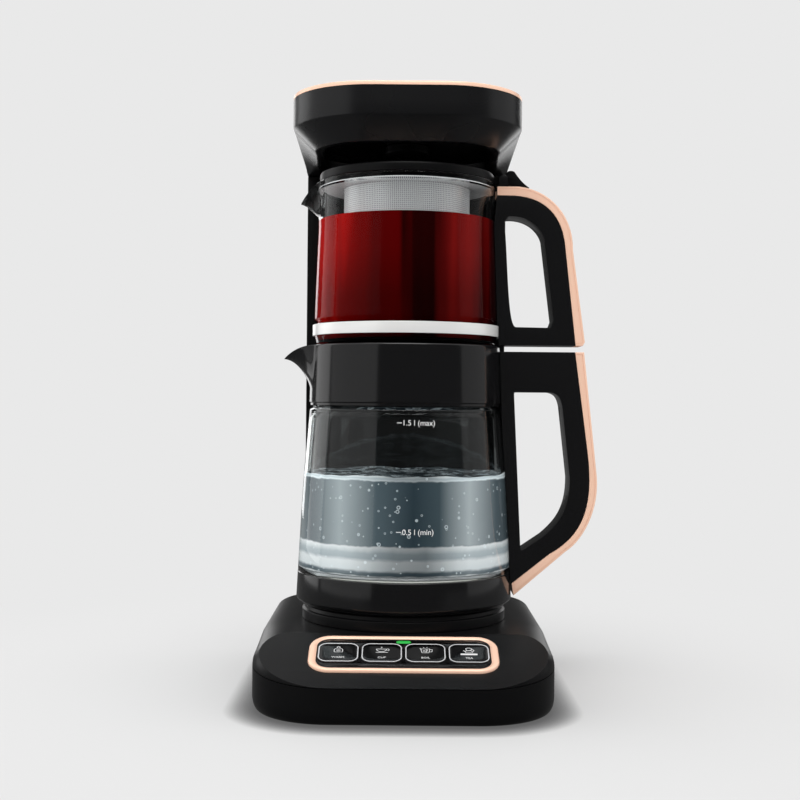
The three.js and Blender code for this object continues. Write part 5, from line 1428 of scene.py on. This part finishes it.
def rayShare(tree, *kinds):
    # 1 where any of these kinds of ray looks, 0 for the light that falls on the object
    path = addNode(tree, "LightPath")
    total = path.outputs[kinds[0]]
    for kind in kinds[1:]:
        total = calc(tree, "MAXIMUM", total, path.outputs[kind])
    return total


def glow(tree, kind, code, strength):
    return addNode(tree, kind, Color=linear(code), Strength=strength).outputs[0]


def mixed(tree, share, first, second):
    return addNode(tree, "MixShader", {0: share, 1: first, 2: second}).outputs[0]


def frontShare(tree, place, full):
    # 0 beside and behind the object, rising to 1 in front of it
    parts = addNode(tree, "SeparateXYZ", {0: place})
    ahead = calc(tree, "ADD", calc(tree, "ABSOLUTE", parts.outputs[0]), parts.outputs[1])
    return spread(tree, ahead, 0.0, 1.0, studio["cardEdge"], full, "SMOOTHSTEP")


def splitRays(tree, lit, looked, mirrored, front, card):
    # light, the camera's view and mirrors each get their own; glass throws back a dark card in front
    seen = mixed(tree, rayShare(tree, "Is Camera Ray", "Is Transmission Ray"), lit, looked)
    seen = mixed(tree, rayShare(tree, "Is Glossy Ray"), seen, mirrored)
    return mixed(tree, calc(tree, "MULTIPLY", rayShare(tree, "Is Transmission Ray"), front), seen, card)


def paperSweep():
    # pale paper: even background tone all over, and the object's soft shadow near it
    look, tree, place = newLook("pale_paper_sweep")
    away = addNode(tree, "VectorMath", {0: place}, operation="LENGTH").outputs["Value"]
    near = spread(tree, away, studio["shadowShare"], 0.0, studio["shadowStart"], studio["shadowReach"],
                  "SMOOTHSTEP")
    # painted contact shadow: the paper's colour darkens in the last centimetres before the base stands on it
    contact = addNode(tree, "AmbientOcclusion", Distance=studio["contact"]).outputs["AO"]
    opened = calc(tree, "POWER", contact, studio["contactPower"])
    shade = blend(tree, opened, studio["contactShadowTone"], studio["paper"])
    paper = addNode(tree, "BsdfDiffuse", Color=shade).outputs[0]
    looked = mixed(tree, near, glow(tree, "Emission", studio["background"], 1.0), paper)
    # mirrors see the paper at the sides and behind, and a black card in front of the object
    front = frontShare(tree, place, studio["floorCard"])
    card = glow(tree, "Emission", "FFFFFF", studio["mirrorLow"])
    mirrored = mixed(tree, front, glow(tree, "Emission", "FFFFFF", studio["mirrorPaper"]), card)
    addNode(tree, "OutputMaterial", Surface=splitRays(tree, paper, looked, mirrored, front, card))
    return look


def lightWorld():
    world = bpy.data.worlds.new("studio")
    scene.world = world
    world.use_nodes = True
    tree = world.node_tree
    tree.nodes.clear()
    place = addNode(tree, "TexCoord").outputs["Generated"]
    # mirrors see black cards round the horizon and a pale ceiling, never more than the fill
    upward = addNode(tree, "SeparateXYZ", {0: place}).outputs[2]
    rise = spread(tree, upward, studio["mirrorLow"], studio["mirrorHigh"], *studio["mirrorRise"],
                  "SMOOTHSTEP")
    seen = splitRays(tree, glow(tree, "Background", "FFFFFF", studio["fill"]),
                     glow(tree, "Background", studio["background"], 1.0),
                     glow(tree, "Background", "FFFFFF", rise), frontShare(tree, place, studio["worldCard"]),
                     glow(tree, "Background", "FFFFFF", studio["mirrorLow"]))
    addNode(tree, "OutputWorld", Surface=seen)


bpy.ops.mesh.primitive_plane_add(size=studio["floorSize"], location=(0, 0, 0))
floor = bpy.context.object
floor.name = "studio_floor"
floor.data.materials.append(paperSweep())
lightWorld()

# soft boxes behind the sides draw the bright upright edges, dim cards beside the object
# give the tone steps on kettle and head, the others stand above
lamps = {
    "left_softbox": {"place": (-0.7, 1.5, 0.35), "size": (0.4, 1.2), "power": 2.6},
    "right_softbox": {"place": (0.7, 1.5, 0.35), "size": (0.4, 1.2), "power": 2.2},
    "left_card": {"place": (-0.98, -0.45, 0.35), "size": (1.35, 1.2), "power": 1.7},
    "left_side_card": {"place": (-1.05, 0.5, 0.4), "size": (0.65, 1.2), "power": 2.2},
    "right_card": {"place": (1.05, 0.1, 0.35), "size": (1.1, 1.2), "power": 1.1},
    "top_softbox": {"place": (-0.1, -0.2, 1.4), "size": (1.2, 0.8), "power": 3.8},
    "front_softbox": {"place": (0, -1.3, 1.7), "size": (1.6, 0.7), "power": 8},
}
for name, lamp in lamps.items():
    bpy.ops.object.light_add(type="AREA", location=lamp["place"])
    obj = bpy.context.object
    obj.name = name
    obj.data.shape = "RECTANGLE"
    obj.data.size, obj.data.size_y = lamp["size"]
    obj.data.energy = lamp["power"]
    obj.visible_camera = False
    aim = Vector((0, 0, studio["aim"])) - Vector(lamp["place"])
    obj.rotation_euler = aim.to_track_quat("-Z", "Y").to_euler()

bpy.ops.object.camera_add(location=jugFrame @ Vector(studio["camera"]))
camera = bpy.context.object
camera.name = "studio_camera"
camera.rotation_euler = (math.radians(90), math.radians(studio["roll"]), 0)
camera.data.lens = studio["lens"]
camera.data.sensor_width = 36
camera.data.clip_start = 0.01
scene.camera = camera
scene.view_settings.view_transform = "Standard"
print("studio made")
